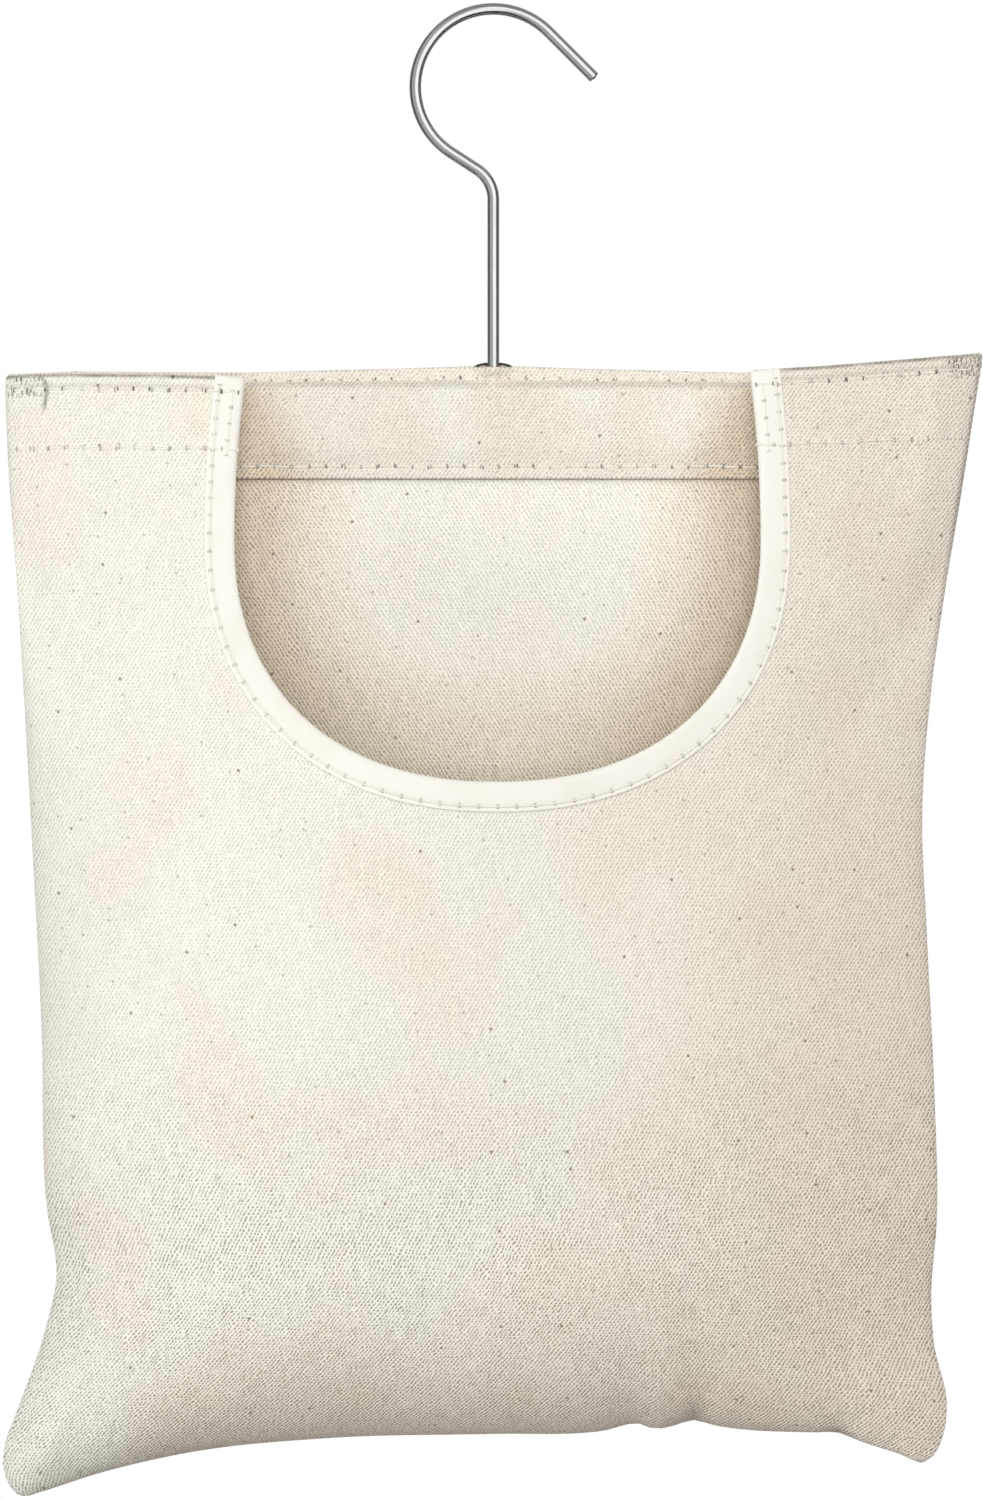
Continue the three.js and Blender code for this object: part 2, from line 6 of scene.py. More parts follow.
import bpy
import numpy as np
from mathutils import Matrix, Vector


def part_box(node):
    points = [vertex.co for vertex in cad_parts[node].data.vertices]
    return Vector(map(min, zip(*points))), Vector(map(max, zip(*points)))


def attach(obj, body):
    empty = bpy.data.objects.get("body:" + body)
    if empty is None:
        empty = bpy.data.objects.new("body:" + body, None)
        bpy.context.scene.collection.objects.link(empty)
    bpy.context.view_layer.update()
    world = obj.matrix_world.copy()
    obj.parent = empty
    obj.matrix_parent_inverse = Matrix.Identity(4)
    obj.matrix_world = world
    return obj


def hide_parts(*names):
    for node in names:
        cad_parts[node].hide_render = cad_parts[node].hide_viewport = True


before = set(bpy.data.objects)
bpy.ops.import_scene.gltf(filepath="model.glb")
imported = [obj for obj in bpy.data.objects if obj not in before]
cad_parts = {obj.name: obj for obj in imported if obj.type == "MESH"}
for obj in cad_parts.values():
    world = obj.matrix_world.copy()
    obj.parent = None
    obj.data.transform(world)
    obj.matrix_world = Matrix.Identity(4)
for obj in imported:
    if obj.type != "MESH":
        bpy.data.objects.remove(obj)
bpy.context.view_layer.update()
MM = 0.001
SOLID_THREAD = 0.35


def box_mm(node):
    """Lowest and highest corner of a CAD node, in millimetres."""
    low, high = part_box(node)
    return np.array(low) / MM, np.array(high) / MM


BAG_TOP = box_mm("back_panel")[1][2]
HEM_ROW = BAG_TOP - box_mm("back_hem_stitch")[0][2] - SOLID_THREAD
print("nodes", len(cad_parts), "top edge at", round(BAG_TOP, 1), "hem row", round(HEM_ROW, 1))

# %% [markdown]
# The camera stands where the photographer stood: straight in front, level with the middle of the
# picture, and far enough back that the bag hardly narrows with depth. The picture's height covers
# 500 mm at the bag, so the lens follows from the distance and the sensor's long side.

# %% Camera
PICTURE_HEIGHT = 500
CAMERA_DISTANCE = 2000
PICTURE_CENTRE = (-0.6, -245)
SENSOR = 36

camera = bpy.data.objects.new("camera", bpy.data.cameras.new("camera"))
camera.data.sensor_width = SENSOR
camera.data.lens = SENSOR * CAMERA_DISTANCE / PICTURE_HEIGHT
camera.location = (PICTURE_CENTRE[0] * MM, -CAMERA_DISTANCE * MM, PICTURE_CENTRE[1] * MM)
camera.rotation_euler = (np.pi / 2, 0, 0)
bpy.context.scene.collection.objects.link(camera)
bpy.context.scene.camera = camera
print("lens", camera.data.lens, "mm")

# %% [markdown]
# Every soft piece here is a grid of points that numpy works out in one go. Sculpting by hand could
# give the same folds, but formulas can be read, changed and run again. The first helpers are the
# ramps and bells of which the folds, waves and soft edges below are made.

# %% Ramps and bells
def lerp(low, high, share):
    """The value at a share of the way from low to high."""
    return low + (high - low) * share


def ease(share):
    """A ramp from 0 to 1 that starts and ends level: three squares less two cubes of the share."""
    share = np.clip(share, 0, 1)
    return share * share * (3 - 2 * share)


def rising(value, low, high):
    """The soft ramp over a value: 0 up to low, 1 from high on."""
    return ease((value - low) / (high - low))


def quarter_circle(share):
    """A rise from 0 to 1 that starts upright and ends level, as a quarter of a circle does."""
    share = np.clip(share, 0, 1)
    return np.sqrt(share * (2 - share))


def bump(offset, width):
    """A bell of height 1 at offset 0, which has fallen to a third at the width."""
    return np.exp(-((offset / width) ** 2))


def half_turn(steps):
    """Angles that divide a half turn evenly, without its two ends."""
    return np.linspace(0, np.pi, steps + 2)[1:-1]


print("a quarter of the way up, the ramp is at", ease(0.25), "and the bell at", bump(0.25, 1).round(2))

# %% [markdown]
# Outlines, the wire and rows of stitches start as lines of points. Blender's curve objects could
# draw them, but the cloth's grids need plain numbers, so a smooth line is put through a few chosen
# points here and then cut into even steps.

# %% Lines
FINE_STEPS = 40


def distance_along(line):
    """Distance of each point from the start, measured along the line."""
    return np.concatenate([[0], np.cumsum(np.linalg.norm(np.diff(line, axis=0), axis=1))])


def even_steps(line, count):
    """Points at equal distances along a line of points."""
    reach = distance_along(line)
    stops = np.linspace(0, reach[-1], count)
    return np.stack([np.interp(stops, reach, column) for column in line.T], axis=1)


def smooth_line(points, count):
    """Even points on a smooth line through a few given ones.

    The parameter is the distance along the chords, a point's slope comes from its two neighbours,
    and each span is the cubic that has those slopes at its ends.
    """
    points = np.asarray(points, float)
    knots = distance_along(points)
    slopes = np.gradient(points, knots, axis=0)
    fine = np.linspace(0, knots[-1], FINE_STEPS * len(points))
    span = np.clip(np.searchsorted(knots, fine, side="right") - 1, 0, len(knots) - 2)
    width = (knots[span + 1] - knots[span])[:, None]
    t = (fine - knots[span])[:, None] / width
    start = (1 + 2 * t) * (1 - t) ** 2 * points[span] + t * (1 - t) ** 2 * width * slopes[span]
    end = t**2 * (3 - 2 * t) * points[span + 1] + t**2 * (t - 1) * width * slopes[span + 1]
    return even_steps(start + end, count)


def unit(vectors):
    """The same directions with length 1."""
    return vectors / np.linalg.norm(vectors, axis=1, keepdims=True)


print("a line of 3 and 4 is", distance_along(np.array([[0, 0], [3, 4]]))[-1], "long")

# %% [markdown]
# A grid of points becomes a mesh with one square between each four neighbours. The cloth's flat
# coordinates, as it lay on the cutting table, go along as its UV map, so a weave can follow every
# fold. Numbers can be painted on the points for a finish to read, and a Solidify modifier gives a
# sheet its thickness.

# %% Meshes from grids
FLAT_MAP = "flat"


def grid_faces(rows, columns):
    """Corner numbers of each square of a grid that is counted row by row."""
    corner = (np.arange(rows - 1)[:, None] * columns + np.arange(columns - 1)).ravel()
    return np.stack([corner, corner + 1, corner + columns + 1, corner + columns], axis=1)


def mesh_piece(name, points, faces, flat=None):
    """A smooth-shaded object from points in millimetres, faces and flat coordinates per point."""
    mesh = bpy.data.meshes.new(name)
    mesh.from_pydata((np.asarray(points).reshape(-1, 3) * MM).tolist(), [], faces.tolist())
    mesh.polygons.foreach_set("use_smooth", np.ones(len(mesh.polygons), bool))
    if flat is not None:
        corners = np.zeros(len(mesh.loops), np.int32)
        mesh.loops.foreach_get("vertex_index", corners)
        layer = mesh.uv_layers.new(name=FLAT_MAP)
        layer.data.foreach_set("uv", (flat.reshape(-1, 2) * MM)[corners].ravel())
    piece = bpy.data.objects.new(name, mesh)
    bpy.context.scene.collection.objects.link(piece)
    return piece


def paint(piece, name, values):
    """Keeps one number per point of a piece, which its finish can read."""
    attribute = piece.data.attributes.new(name, "FLOAT", "POINT")
    attribute.data.foreach_set("value", np.asarray(values, np.float32).ravel())


def thicken(piece, thickness, next_finish=0):
    """Gives a sheet its thickness, half to each side, with a closed rim.

    The side away from the faces' front may wear a later finish of the piece.
    """
    wall = piece.modifiers.new("thickness", "SOLIDIFY")
    wall.thickness = thickness * MM
    wall.offset = 0
    wall.use_quality_normals = True
    wall.material_offset = next_finish


print("a grid of 3 by 4 points has", len(grid_faces(3, 4)), "squares")

# %% [markdown]
# The bag's outline is what the eye compares first. The panels are cut straight, but a filled bag
# pulls its sides in and leaves its bottom corners out as ears, and this one hangs a little askew.
# So the outline is one smooth line through listed points, given as the distance from the stem and the drop
# below the top edge.

# %% The bag's outline
LEFT_SIDE = [(-162.5, -4), (-161.3, 30), (-158.0, 77), (-153.8, 150), (-150.1, 222), (-148.4, 280)]
LEFT_EAR = [(-145.2, 303), (-149.0, 321), (-158.2, 347.5), (-162.4, 359), (-162.7, 368)]
LEFT_FOOT = [(-157.4, 375.8), (-151.5, 374.4), (-130.7, 367.8), (-101, 360.9)]
MIDDLE_FOOT = [(-54, 356.1), (0, 354.8), (36, 353.9)]
TUCKED_FOOT = [(49, 351.6), (53, 353.1), (60, 352.2), (66, 350.4), (74, 352.2)]
RIGHT_FOOT = [(107, 354.5), (115, 354.6), (122, 357.3)]
RIGHT_EAR = [(138, 362.7), (142.8, 364.8), (145.7, 363.2), (150, 354.5), (150.8, 345), (146.7, 326.5)]
RIGHT_BELLY = [(145.6, 312), (147.5, 283), (146.6, 240), (144.2, 190), (142.6, 148)]
RIGHT_SIDE = [(145.2, 111), (149.8, 77), (155.8, 41), (160.8, 11), (163.4, -6)]
LEFT_POINTS = [*LEFT_SIDE, *LEFT_EAR, *LEFT_FOOT, *MIDDLE_FOOT]
RIGHT_POINTS = [*TUCKED_FOOT, *RIGHT_FOOT, *RIGHT_EAR, *RIGHT_BELLY, *RIGHT_SIDE]
OUTLINE_STEPS = 1600
RIGHT_EAR_FROM = 120
EAR_DROP = 345

outline = smooth_line(LEFT_POINTS + RIGHT_POINTS, OUTLINE_STEPS)
left_tip = np.argmax(outline[:, 1])
after_left = outline[left_tip:]
right_tip = left_tip + np.argmax(np.where(after_left[:, 0] > RIGHT_EAR_FROM, after_left[:, 1], 0))
left_part = outline[: left_tip + 1]
right_part = outline[right_tip:][::-1]
low_part = outline[outline[:, 1] > EAR_DROP]
bottom_part = low_part[np.argmin(low_part[:, 0]) : np.argmax(low_part[:, 0]) + 1]
print("outline", len(outline), "points, ears at", outline[left_tip].round(1), outline[right_tip].round(1))

# %% [markdown]
# From the outline come the left and right edge at any drop and the bottom edge at any place across.
# Most shapes below don't ask where a point is in millimetres but how far across the bag it lies,
# so that a fold or a swelling follows the crooked sides.

# %% Edges and shares
def left_edge(drop):
    """Place across of the left side seam at a drop."""
    return np.interp(drop, left_part[:, 1], left_part[:, 0])


def right_edge(drop):
    """Place across of the right side seam at a drop."""
    return np.interp(drop, right_part[:, 1], right_part[:, 0])


def bottom_edge(x):
    """Drop of the bottom seam at a place across."""
    return np.interp(x, bottom_part[:, 0], bottom_part[:, 1])


def share_across(x, drop):
    """Share of the half width: -1 on the left seam, 0 half way, 1 on the right seam."""
    left = left_edge(drop)
    right = right_edge(drop)
    return np.clip((2 * x - left - right) / (right - left), -1, 1)


print("width along the top", (right_edge(0) - left_edge(0)).round(1), "mm")

# %% [markdown]
# The depth of the cloth is a height field over the outline. Along the bar the hem is a tunnel that
# is as deep as the bar and closes to the side seams, where all the layers lie on each other. Over
# its last few millimetres a panel turns in to the seam as a quarter circle.

# %% Tunnel and seams
CLOTH = 0.8
LAP = 0.45
SEAM_HALF = 0.12
SEAM_ROUND = 0.035
BAR_ROOM = 0.3
BAR_HIGH = box_mm("hanger_bar")[1]
BAR_HALF = BAR_HIGH[1] + BAR_ROOM + CLOTH / 2
BAR_END = BAR_HIGH[0] / box_mm("back_panel")[1][0]
EDGE_BELOW_ROW = 4
HEM_EDGE = HEM_ROW + EDGE_BELOW_ROW
HEM_FORWARD = 3.0


def over_bar(u):
    """1 along the bar, falling softly to 0 between the bar's ends and the side seams."""
    return ease((1 - np.abs(u)) / (1 - BAR_END))


def tunnel_half(u):
    """Half the tunnel's depth: the bar's and the cloth's over the bar, one lap at the seams."""
    return lerp(LAP, BAR_HALF, over_bar(u))


def hem_shift(u):
    """How far the hem's stitched edge lies forward of the middle plane, nothing at the side seams."""
    return -HEM_FORWARD * over_bar(u)


def seam_turn(u):
    """Quarter circle by which a panel turns in to the side seam over its last few millimetres."""
    return quarter_circle((1 - np.abs(u)) / SEAM_ROUND)


def to_seam(depth, u):
    """A depth that turns in to the seam, where only half the gap of the seam is left of it."""
    return SEAM_HALF + (depth - SEAM_HALF) * seam_turn(u)


print("tunnel", (2 * BAR_HALF).round(2), "mm deep, the hem's edge at a drop of", HEM_EDGE.round(1))

# %% [markdown]
# Below the hems the panels swell like a pillow: nothing at the seams, full over the belly and
# rounded off at the bottom. A cloth simulation could blow up such a pillow too, but a formula keeps
# the photographed outline and gives the same result every time.

# %% The swell
FRONT_FULL = 150
BACK_FULL = 270
BOTTOM_ROUND = 60
PILLOW_POWER = 0.65
PILLOW_SKEW = 0.33
UNDER_SHARE = 0.5


def bottom_turn(x, drop):
    """1 above the bottom's rounding, from where a quarter circle falls to 0 on the bottom seam."""
    low = np.clip(1 - (bottom_edge(x) - drop) / BOTTOM_ROUND, 0, 1)
    return np.sqrt(1 - low**2)


def swell(x, drop, full_drop):
    """Fullness of the pillow, 0 to 1, which is reached at the full drop.

    A soft ramp below the hem, times a quarter circle over the bottom seam, times a power of one
    minus the squared share across. Below the mouth the share is skewed, as the belly leans left.
    """
    u = share_across(x, drop)
    u = u + PILLOW_SKEW * rising(drop, HEM_EDGE, FRONT_FULL) * (1 - u**2)
    return rising(drop, HEM_EDGE, full_drop) * bottom_turn(x, drop) * (1 - u**2) ** PILLOW_POWER


def rounded_under(x, drop):
    """Extra length of cloth that the rounding at the bottom takes up, as a share of the bulge."""
    return UNDER_SHARE * (1 - bottom_turn(x, drop)) * (1 - share_across(x, drop) ** 2)


print("front's swell in the middle, 100 mm down:", swell(0, 100, FRONT_FULL).round(2))

# %% [markdown]
# Slack cloth is never quite even. Slow waves go over the whole bag, small folds stand where the
# bottom seam was turned, and the upper left corner of the front is folded over. They are sines and
# bells that are added to the depth, each with its place, width and height in a table.

# %% Waves and small folds
WAVES = [(0.5, 23, 61, 0.7), (0.6, 41, -37, 2.1), (0.25, 17, -90, 4.0)]
WAVE_SUM = 1.35
SEAM_FOLDS = [(68, 345, 66, 9, 2.2, 1.6), (118, 351, 35, 7, 2.2, 1.4), (50, 350, 60, 5, 1.8, 1.0)]
EAR_FOLD = (-146, 352, 65, 34, 6, -2.6)
FOLD_START = -155
FOLD_WIDE = 6.7
FOLD_TOP = 2.5
FOLD_TURN = 5.5
FOLD_LEAN = 0.15
FOLD_END = 17
FOLD_FADE = 5


def soft_waves(x, drop):
    """Slow unevenness from -1 to 1: three crossing sine waves, each with its height and lengths."""
    total = 0
    for height, across, down, start in WAVES:
        total = total + height * np.sin(x / across + drop / down + start)
    return total / WAVE_SUM


def creases(x, drop):
    """Small folds at the bottom seam, each a narrow bell across its line that fades along it."""
    total = 0
    for centre_x, centre_drop, lean, length, width, depth in [*SEAM_FOLDS, EAR_FOLD]:
        c, s = np.cos(np.radians(lean)), np.sin(np.radians(lean))
        along = (x - centre_x) * c - (drop - centre_drop) * s
        across = (x - centre_x) * s + (drop - centre_drop) * c
        total = total + depth * bump(across, width) * bump(along, length)
    return total


def corner_fold(x, drop):
    """Distance into the front's folded corner, and how far down the fold's edge still stands.

    The edge starts as a quarter circle below the top and then leans back to the side seam.
    """
    turn = FOLD_WIDE * quarter_circle((drop - FOLD_TOP) / FOLD_TURN)
    edge = FOLD_START + turn - FOLD_LEAN * np.maximum(drop - FOLD_TOP - FOLD_TURN, 0)
    return edge - x, ease((FOLD_END - drop) / FOLD_FADE)


print("waves", len(WAVES), "and folds", len(SEAM_FOLDS) + 2)

# %% [markdown]
# With these parts each panel's depth is one expression. The front hangs before the tunnel and the
# tape, closes on the back below the hem and then swells. The back starts at the hem's stitched
# edge. The mouth's edges stand forward, because nothing pulls them back.

# %% Depth of the two panels
TAPE_ROOM = 3.9
MOUTH_FORWARD = 14
MOUTH_SHARE = 0.535
SEAM_CLOSE = 30
CLOSE_POWER = 6
FRONT_BULGE = 50
FRONT_WAVE = 1.6
FOLD_LAYER = 0.8
FOLD_STEP = 0.9
BACK_BULGE = 30
BACK_WAVE = 1.4
BACK_WAVE_SHIFT = 40
BACK_SETTLE = 60
WAVE_POWER = 0.7


def front_y(x, drop):
    """Depth of the front panel: before the tunnel, closing on the back below the hem, then swelling."""
    u = share_across(x, drop)
    close = lerp(FRONT_FULL - HEM_EDGE, SEAM_CLOSE, u**CLOSE_POWER)
    forward = MOUTH_FORWARD * ease((1 - np.abs(u)) / (1 - MOUTH_SHARE))
    hang = lerp(tunnel_half(u) + TAPE_ROOM + forward, LAP, ease((drop - HEM_EDGE) / close))
    full = swell(x, drop, FRONT_FULL)
    waves = FRONT_WAVE * soft_waves(x, drop) * full**WAVE_POWER
    inside, stands = corner_fold(x, drop)
    small = creases(x, drop) - FOLD_LAYER * ease(inside / FOLD_STEP + 0.5) * stands
    return -to_seam(hang, u) - FRONT_BULGE * full - waves + small * seam_turn(u)


def back_y(x, drop):
    """Depth of the back panel below its hem: it settles to the middle plane and swells."""
    u = share_across(x, drop)
    full = swell(x, drop, BACK_FULL)
    hang = LAP + hem_shift(u) * (1 - ease((drop - HEM_EDGE) / BACK_SETTLE))
    waves = BACK_WAVE * soft_waves(-x, drop + BACK_WAVE_SHIFT) * full**WAVE_POWER
    return to_seam(hang, u) + BACK_BULGE * full + waves


belly = np.array(0.0), np.array(230.0)
print("belly from", front_y(*belly).round(1), "to", back_y(*belly).round(1))

# %% [markdown]
# The mouth is a U: two straight sides and a round that is a little fuller than an ellipse. It is
# kept as even points with the direction into the cloth at each, because the panel's edge, the tape
# and the row of stitches are all set out from it. The front's top edge isn't quite level.

# %% The mouth's edge
MOUTH_CENTRE = 1.4
MOUTH_HALF = 86.9
MOUTH_TURN = 57
MOUTH_ROUND = 81
MOUTH_POWER = 2.25
MOUTH_TAPER = 3.6
SIDE_STEPS = 30
ROUND_STEPS = 400
LEFT_TOP_EDGE = [(-165, 3.4), (-140, 3.2), (-110, 4.0), (-84, 5.0)]
RIGHT_TOP_EDGE = [(84, 2.8), (110, 1.0), (140, -1.9), (166, -4.4)]


def front_top(x):
    """Drop of the front panel's top edge on either side of the mouth."""
    points = np.array(LEFT_TOP_EDGE + RIGHT_TOP_EDGE)
    return np.interp(x, points[:, 0], points[:, 1])


def front_drop(x, below_top):
    """Drop of a point that lies so far below the front's top edge, which is level further down."""
    return below_top + front_top(x) * (1 - ease(below_top / MOUTH_TURN))


def mouth_round(grow):
    """The mouth's round from left to right, grown outwards by a margin.

    An ellipse whose cosine and sine are raised to a power below 1, which makes it fuller.
    """
    angle = np.linspace(np.pi, 0, ROUND_STEPS)
    c = np.cos(angle)
    across = np.sign(c) * np.abs(c) ** (2 / MOUTH_POWER)
    down = np.abs(np.sin(angle)) ** (2 / MOUTH_POWER)
    x = MOUTH_CENTRE + (MOUTH_HALF + grow) * across
    return np.stack([x, MOUTH_TURN + (MOUTH_ROUND + grow) * down], axis=1)


def mouth_side(below_top):
    """Half the mouth's width beside its round, where it narrows a little towards the top."""
    return MOUTH_HALF - MOUTH_TAPER * np.clip(1 - below_top / MOUTH_TURN, 0, 1) ** 2


def mouth_sides(below, grow):
    """Points of the left side downwards and of the right side upwards, moved out by a margin."""
    half = mouth_side(below)
    left = np.stack([MOUTH_CENTRE - half - grow, below], axis=1)
    right = np.stack([MOUTH_CENTRE + half + grow, below], axis=1)
    return left, right[::-1]


def mouth_edge(count):
    """Even points of the whole U from left to right, and the direction into the cloth at each."""
    left, right = mouth_sides(np.linspace(0, MOUTH_TURN, SIDE_STEPS)[:-1], 0)
    path = even_steps(np.concatenate([left, mouth_round(0), right]), count)
    along = unit(np.gradient(path, axis=0))
    into_cloth = np.stack([-along[:, 1], along[:, 0]], axis=1)
    path[:, 1] = front_drop(path[:, 0], path[:, 1])
    return path, into_cloth


print("mouth's edge", distance_along(mouth_edge(ROUND_STEPS)[0])[-1].round(), "mm long")

# %% [markdown]
# The front panel is a band: one side follows the mouth's raw edge and the other the outline, and
# straight lines join them. Its two upper ends fold over to the inside as hems. Such a band keeps a
# clean edge all round the mouth, which a square grid with a hole cut into it would not.

# %% Lines of the front panel
LAYER = 1.2
FRONT_HEM = 30
RAW_SET = 1.4
HEM_LINES = 18
HEM_TURN_LINES = 6
SIDE_LINES = 56
SIDE_CROWD = 1.5
FAN_LINES = 250


def side_lines():
    """Distance below the top and layer of the lines beside the mouth: 1 in the hem, 0 outside.

    They go up the hem, round its fold and down the outside, where they lie closer near the top.
    """
    fold = LAYER / 2
    turn = half_turn(HEM_TURN_LINES)
    outside = fold + (MOUTH_TURN - fold) * np.linspace(0, 1, SIDE_LINES) ** SIDE_CROWD
    below = [np.linspace(FRONT_HEM, fold, HEM_LINES), fold * (1 - np.sin(turn)), outside]
    layer = [np.ones(HEM_LINES), (1 + np.cos(turn)) / 2, np.zeros(SIDE_LINES)]
    return np.concatenate(below), np.concatenate(layer)


def front_lines():
    """Ends of all the lines on the mouth and on the outline, and the layer of each line.

    They go down the left side, fan out round the mouth and go up the right side.
    """
    below, layer = side_lines()
    left, right = mouth_sides(below, RAW_SET)
    lip = even_steps(mouth_round(RAW_SET), FAN_LINES + 2)[1:-1]
    start = np.searchsorted(left_part[:, 1], MOUTH_TURN)
    stop = len(outline) - np.searchsorted(right_part[:, 1], MOUTH_TURN)
    rim = even_steps(outline[start:stop], FAN_LINES + 2)[1:-1]
    left_seam = np.stack([left_edge(below), below], axis=1)
    right_seam = np.stack([right_edge(below), below], axis=1)[::-1]
    on_mouth = np.concatenate([left, lip, right])
    on_outline = np.concatenate([left_seam, rim, right_seam])
    return on_mouth, on_outline, np.concatenate([layer, np.zeros(FAN_LINES), layer[::-1]])


print("front panel", len(front_lines()[2]), "lines from the mouth to the outline")

# %% [markdown]
# Each line is cut into points that lie closer towards the seam, where the cloth turns. The depth is
# the front's height field, plus one layer for the turned-in hem, and the flat coordinates run along
# the cloth, over the rounding at the bottom too. The piece stands in for the CAD node of that name.

# %% Front panel
FLAT_HALF = 162.5
LINE_POINTS = 84
LINE_CROWD = 1.5
HEM_AT_SEAM = 0.15
HEM_TUCK = 0.012
TUCK_POWER = 8


def front_panel_grid():
    """Points and flat coordinates of the front panel, line by line."""
    on_mouth, on_outline, layer = front_lines()
    reach = 1 - (1 - np.linspace(0, 1, LINE_POINTS)) ** LINE_CROWD
    place = on_mouth[:, None] + (on_outline - on_mouth)[:, None] * reach[None, :, None]
    x = place[..., 0]
    below_top = place[..., 1]
    drop = front_drop(x, below_top)
    u = share_across(x, drop)
    in_hem = layer[:, None] * np.ones_like(x)
    y = front_y(x, drop) + LAYER * in_hem * np.maximum(seam_turn(u), HEM_AT_SEAM)
    x = x * (1 - HEM_TUCK * in_hem * np.abs(u) ** TUCK_POWER)
    length = np.where(in_hem > 0.5, below_top, -drop - FRONT_BULGE * rounded_under(x, drop))
    return np.stack([x, y, BAG_TOP - drop], axis=-1), np.stack([u * FLAT_HALF, length], axis=-1)


points, flat = front_panel_grid()
front_panel = mesh_piece("front_cloth", points, grid_faces(*points.shape[:2]), flat)
thicken(front_panel, CLOTH)
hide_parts("front_panel")
print("front panel", points.shape[:2], "grid")

# %% [markdown]
# Folded edges and tucks are dark lines, narrower than the light and the grid can draw, so they are painted on
# the points as a shade, as are the shade under the top edge, above the first row and along the right seam. A
# tan is painted too, as painted shade: the bag is made more beige to the right, where it turns away from the
# light, and along the bottom, where it turns under. The finish reads both.

# %% Lines and tan of the front
FRONT_TOP_ROW = 4.6
FOLD_DARK, FOLD_AT, FOLD_LINE = 0.75, -0.4, 0.55
TOP_DARK, TOP_AT, TOP_LINE = 0.55, 0.35, 0.4
TOP_UNEVEN, TOP_WAVE, TOP_SLOW_WAVE = 0.15, 3.1, 7.3
ROW_DARK, ROW_AT, ROW_LINE = 0.2, FRONT_TOP_ROW - 1.3, 0.7
SIDE_DARK, SIDE_NEAR, SIDE_FADE = 0.4, (0.985, 0.997), (40, 130)
TUCKS = [(0.45, 115, 4.5, 1, 1.3), (0.3, 67, 2.2, 3, 4)]
RIGHT_SHADE_TAN, RIGHT_ACROSS, RIGHT_DOWN, RIGHT_UPPER = 0.85, (20, 130), (90, 180), 0.6
FOOT_SHADE_TAN, FOOT_TALL, FOOT_ACROSS = 0.7, 45, (-135, -100)


def front_shade(x, drop, above_foot):
    """The darkest of the lines of painted shade: folded corner, top edge, first row, right side and bottom
    tucks.
    """
    inside, stands = corner_fold(x, drop)
    below_top = drop - front_top(x)
    fold = FOLD_DARK * bump(inside - FOLD_AT, FOLD_LINE) * stands
    uneven = TOP_UNEVEN * np.sin(x / TOP_WAVE) * np.sin(x / TOP_SLOW_WAVE + 1)
    top = (TOP_DARK + uneven) * bump(below_top - TOP_AT, TOP_LINE)
    row = ROW_DARK * bump(below_top - ROW_AT, ROW_LINE) * (drop < MOUTH_TURN)
    side = SIDE_DARK * rising(share_across(x, drop), *SIDE_NEAR) * (1 - rising(drop, *SIDE_FADE))
    tucks = 0
    for dark, centre, width, above, tall in TUCKS:
        tucks = tucks + dark * bump(x - centre, width) * bump(above_foot - above, tall)
    return np.max([fold, top, row, side, tucks], axis=0)


x, drop = points[..., 0], BAG_TOP - points[..., 2]
above_foot = bottom_edge(x) - drop
# Painted shade as tan: more to the right, where the bag turns away from the light, and along the bottom,
# where it turns under.
right_shade_tan = RIGHT_SHADE_TAN * rising(x, *RIGHT_ACROSS) * lerp(RIGHT_UPPER, 1, rising(drop, *RIGHT_DOWN))
foot_shade_tan = FOOT_SHADE_TAN * ease(1 - above_foot / FOOT_TALL) * rising(x, *FOOT_ACROSS)
shade = front_shade(x, drop, above_foot)
paint(front_panel, "shade", shade)
paint(front_panel, "tan", np.maximum(right_shade_tan, foot_shade_tan))
print("darkest line", shade.max().round(2), "of black")

# %% [markdown]
# The back panel's top is folded to the inside as a deep hem, the tunnel that the bar lies in. Above
# the bar the two walls meet in a narrow header, below it they close on the row of stitches. The
# inner wall is the one that shows through the mouth, so it also gets ripples beside the stem.

# %% Walls of the hem
BACK_TOP_LEFT = [(-166, 2.9), (-140, 1.7), (-83, 2.1), (-30, 0.7)]
BACK_TOP_RIGHT = [(0, -0.3), (30, 0.8), (83, 2.1), (110, 1.1), (166, -4.9)]
HEADER = 4
SHOULDER = 4
HEAD_ROOM = 0.3
TUNNEL_END = BAG_TOP - box_mm("wire_hook")[0][2] + HEAD_ROOM
TUNNEL_CLOSE = HEM_ROW - HEAD_ROOM
WIRE_ROOM = 2.7
TOP_ROW = 3.6
ROW_SINK = 0.3
ROW_WIDE = 0.9
WALL_AT_SEAM = 0.1
RIDGES = [(1.7, -13, 9), (1.1, 31, 10), (0.8, -55, 14), (0.7, 68, 13)]
RIDGE_TOP = 10
RIDGE_FOOT = 14
RIDGE_PAST = 4


def back_drop(x, below_top):
    """Drop of a point that lies so far below the back's top edge. The bar levels all but its fold."""
    points = np.array(BACK_TOP_LEFT + BACK_TOP_RIGHT)
    edge = np.interp(x, points[:, 0], points[:, 1])
    return below_top + edge * (1 - ease(below_top / (HEADER + SHOULDER)))


def hem_ripple(x, drop):
    """How the inner wall waves near the stem, towards the mouth: bells across that fade up and down."""
    ridges = 0
    for height, centre, width in RIDGES:
        ridges = ridges + height * bump(x - centre, width)
    return ridges * ease(drop / RIDGE_TOP) * ease((HEM_EDGE + RIDGE_PAST - drop) / RIDGE_FOOT)


def wall_half(x, u, drop):
    """Distance of a wall from the middle plane: full over the bar, closed above except round the wire."""
    header = np.hypot(LAP, WIRE_ROOM * bump(x, WIRE_ROOM))
    return lerp(header, tunnel_half(u), rising(drop, HEADER, HEADER + SHOULDER))


def stitched(drop):
    """How deep the hem's two rows of stitches pull the cloth in, as a bell across each row."""
    return ROW_SINK * bump(drop - HEM_ROW, ROW_WIDE) + ROW_SINK * bump(drop - TOP_ROW, ROW_WIDE)


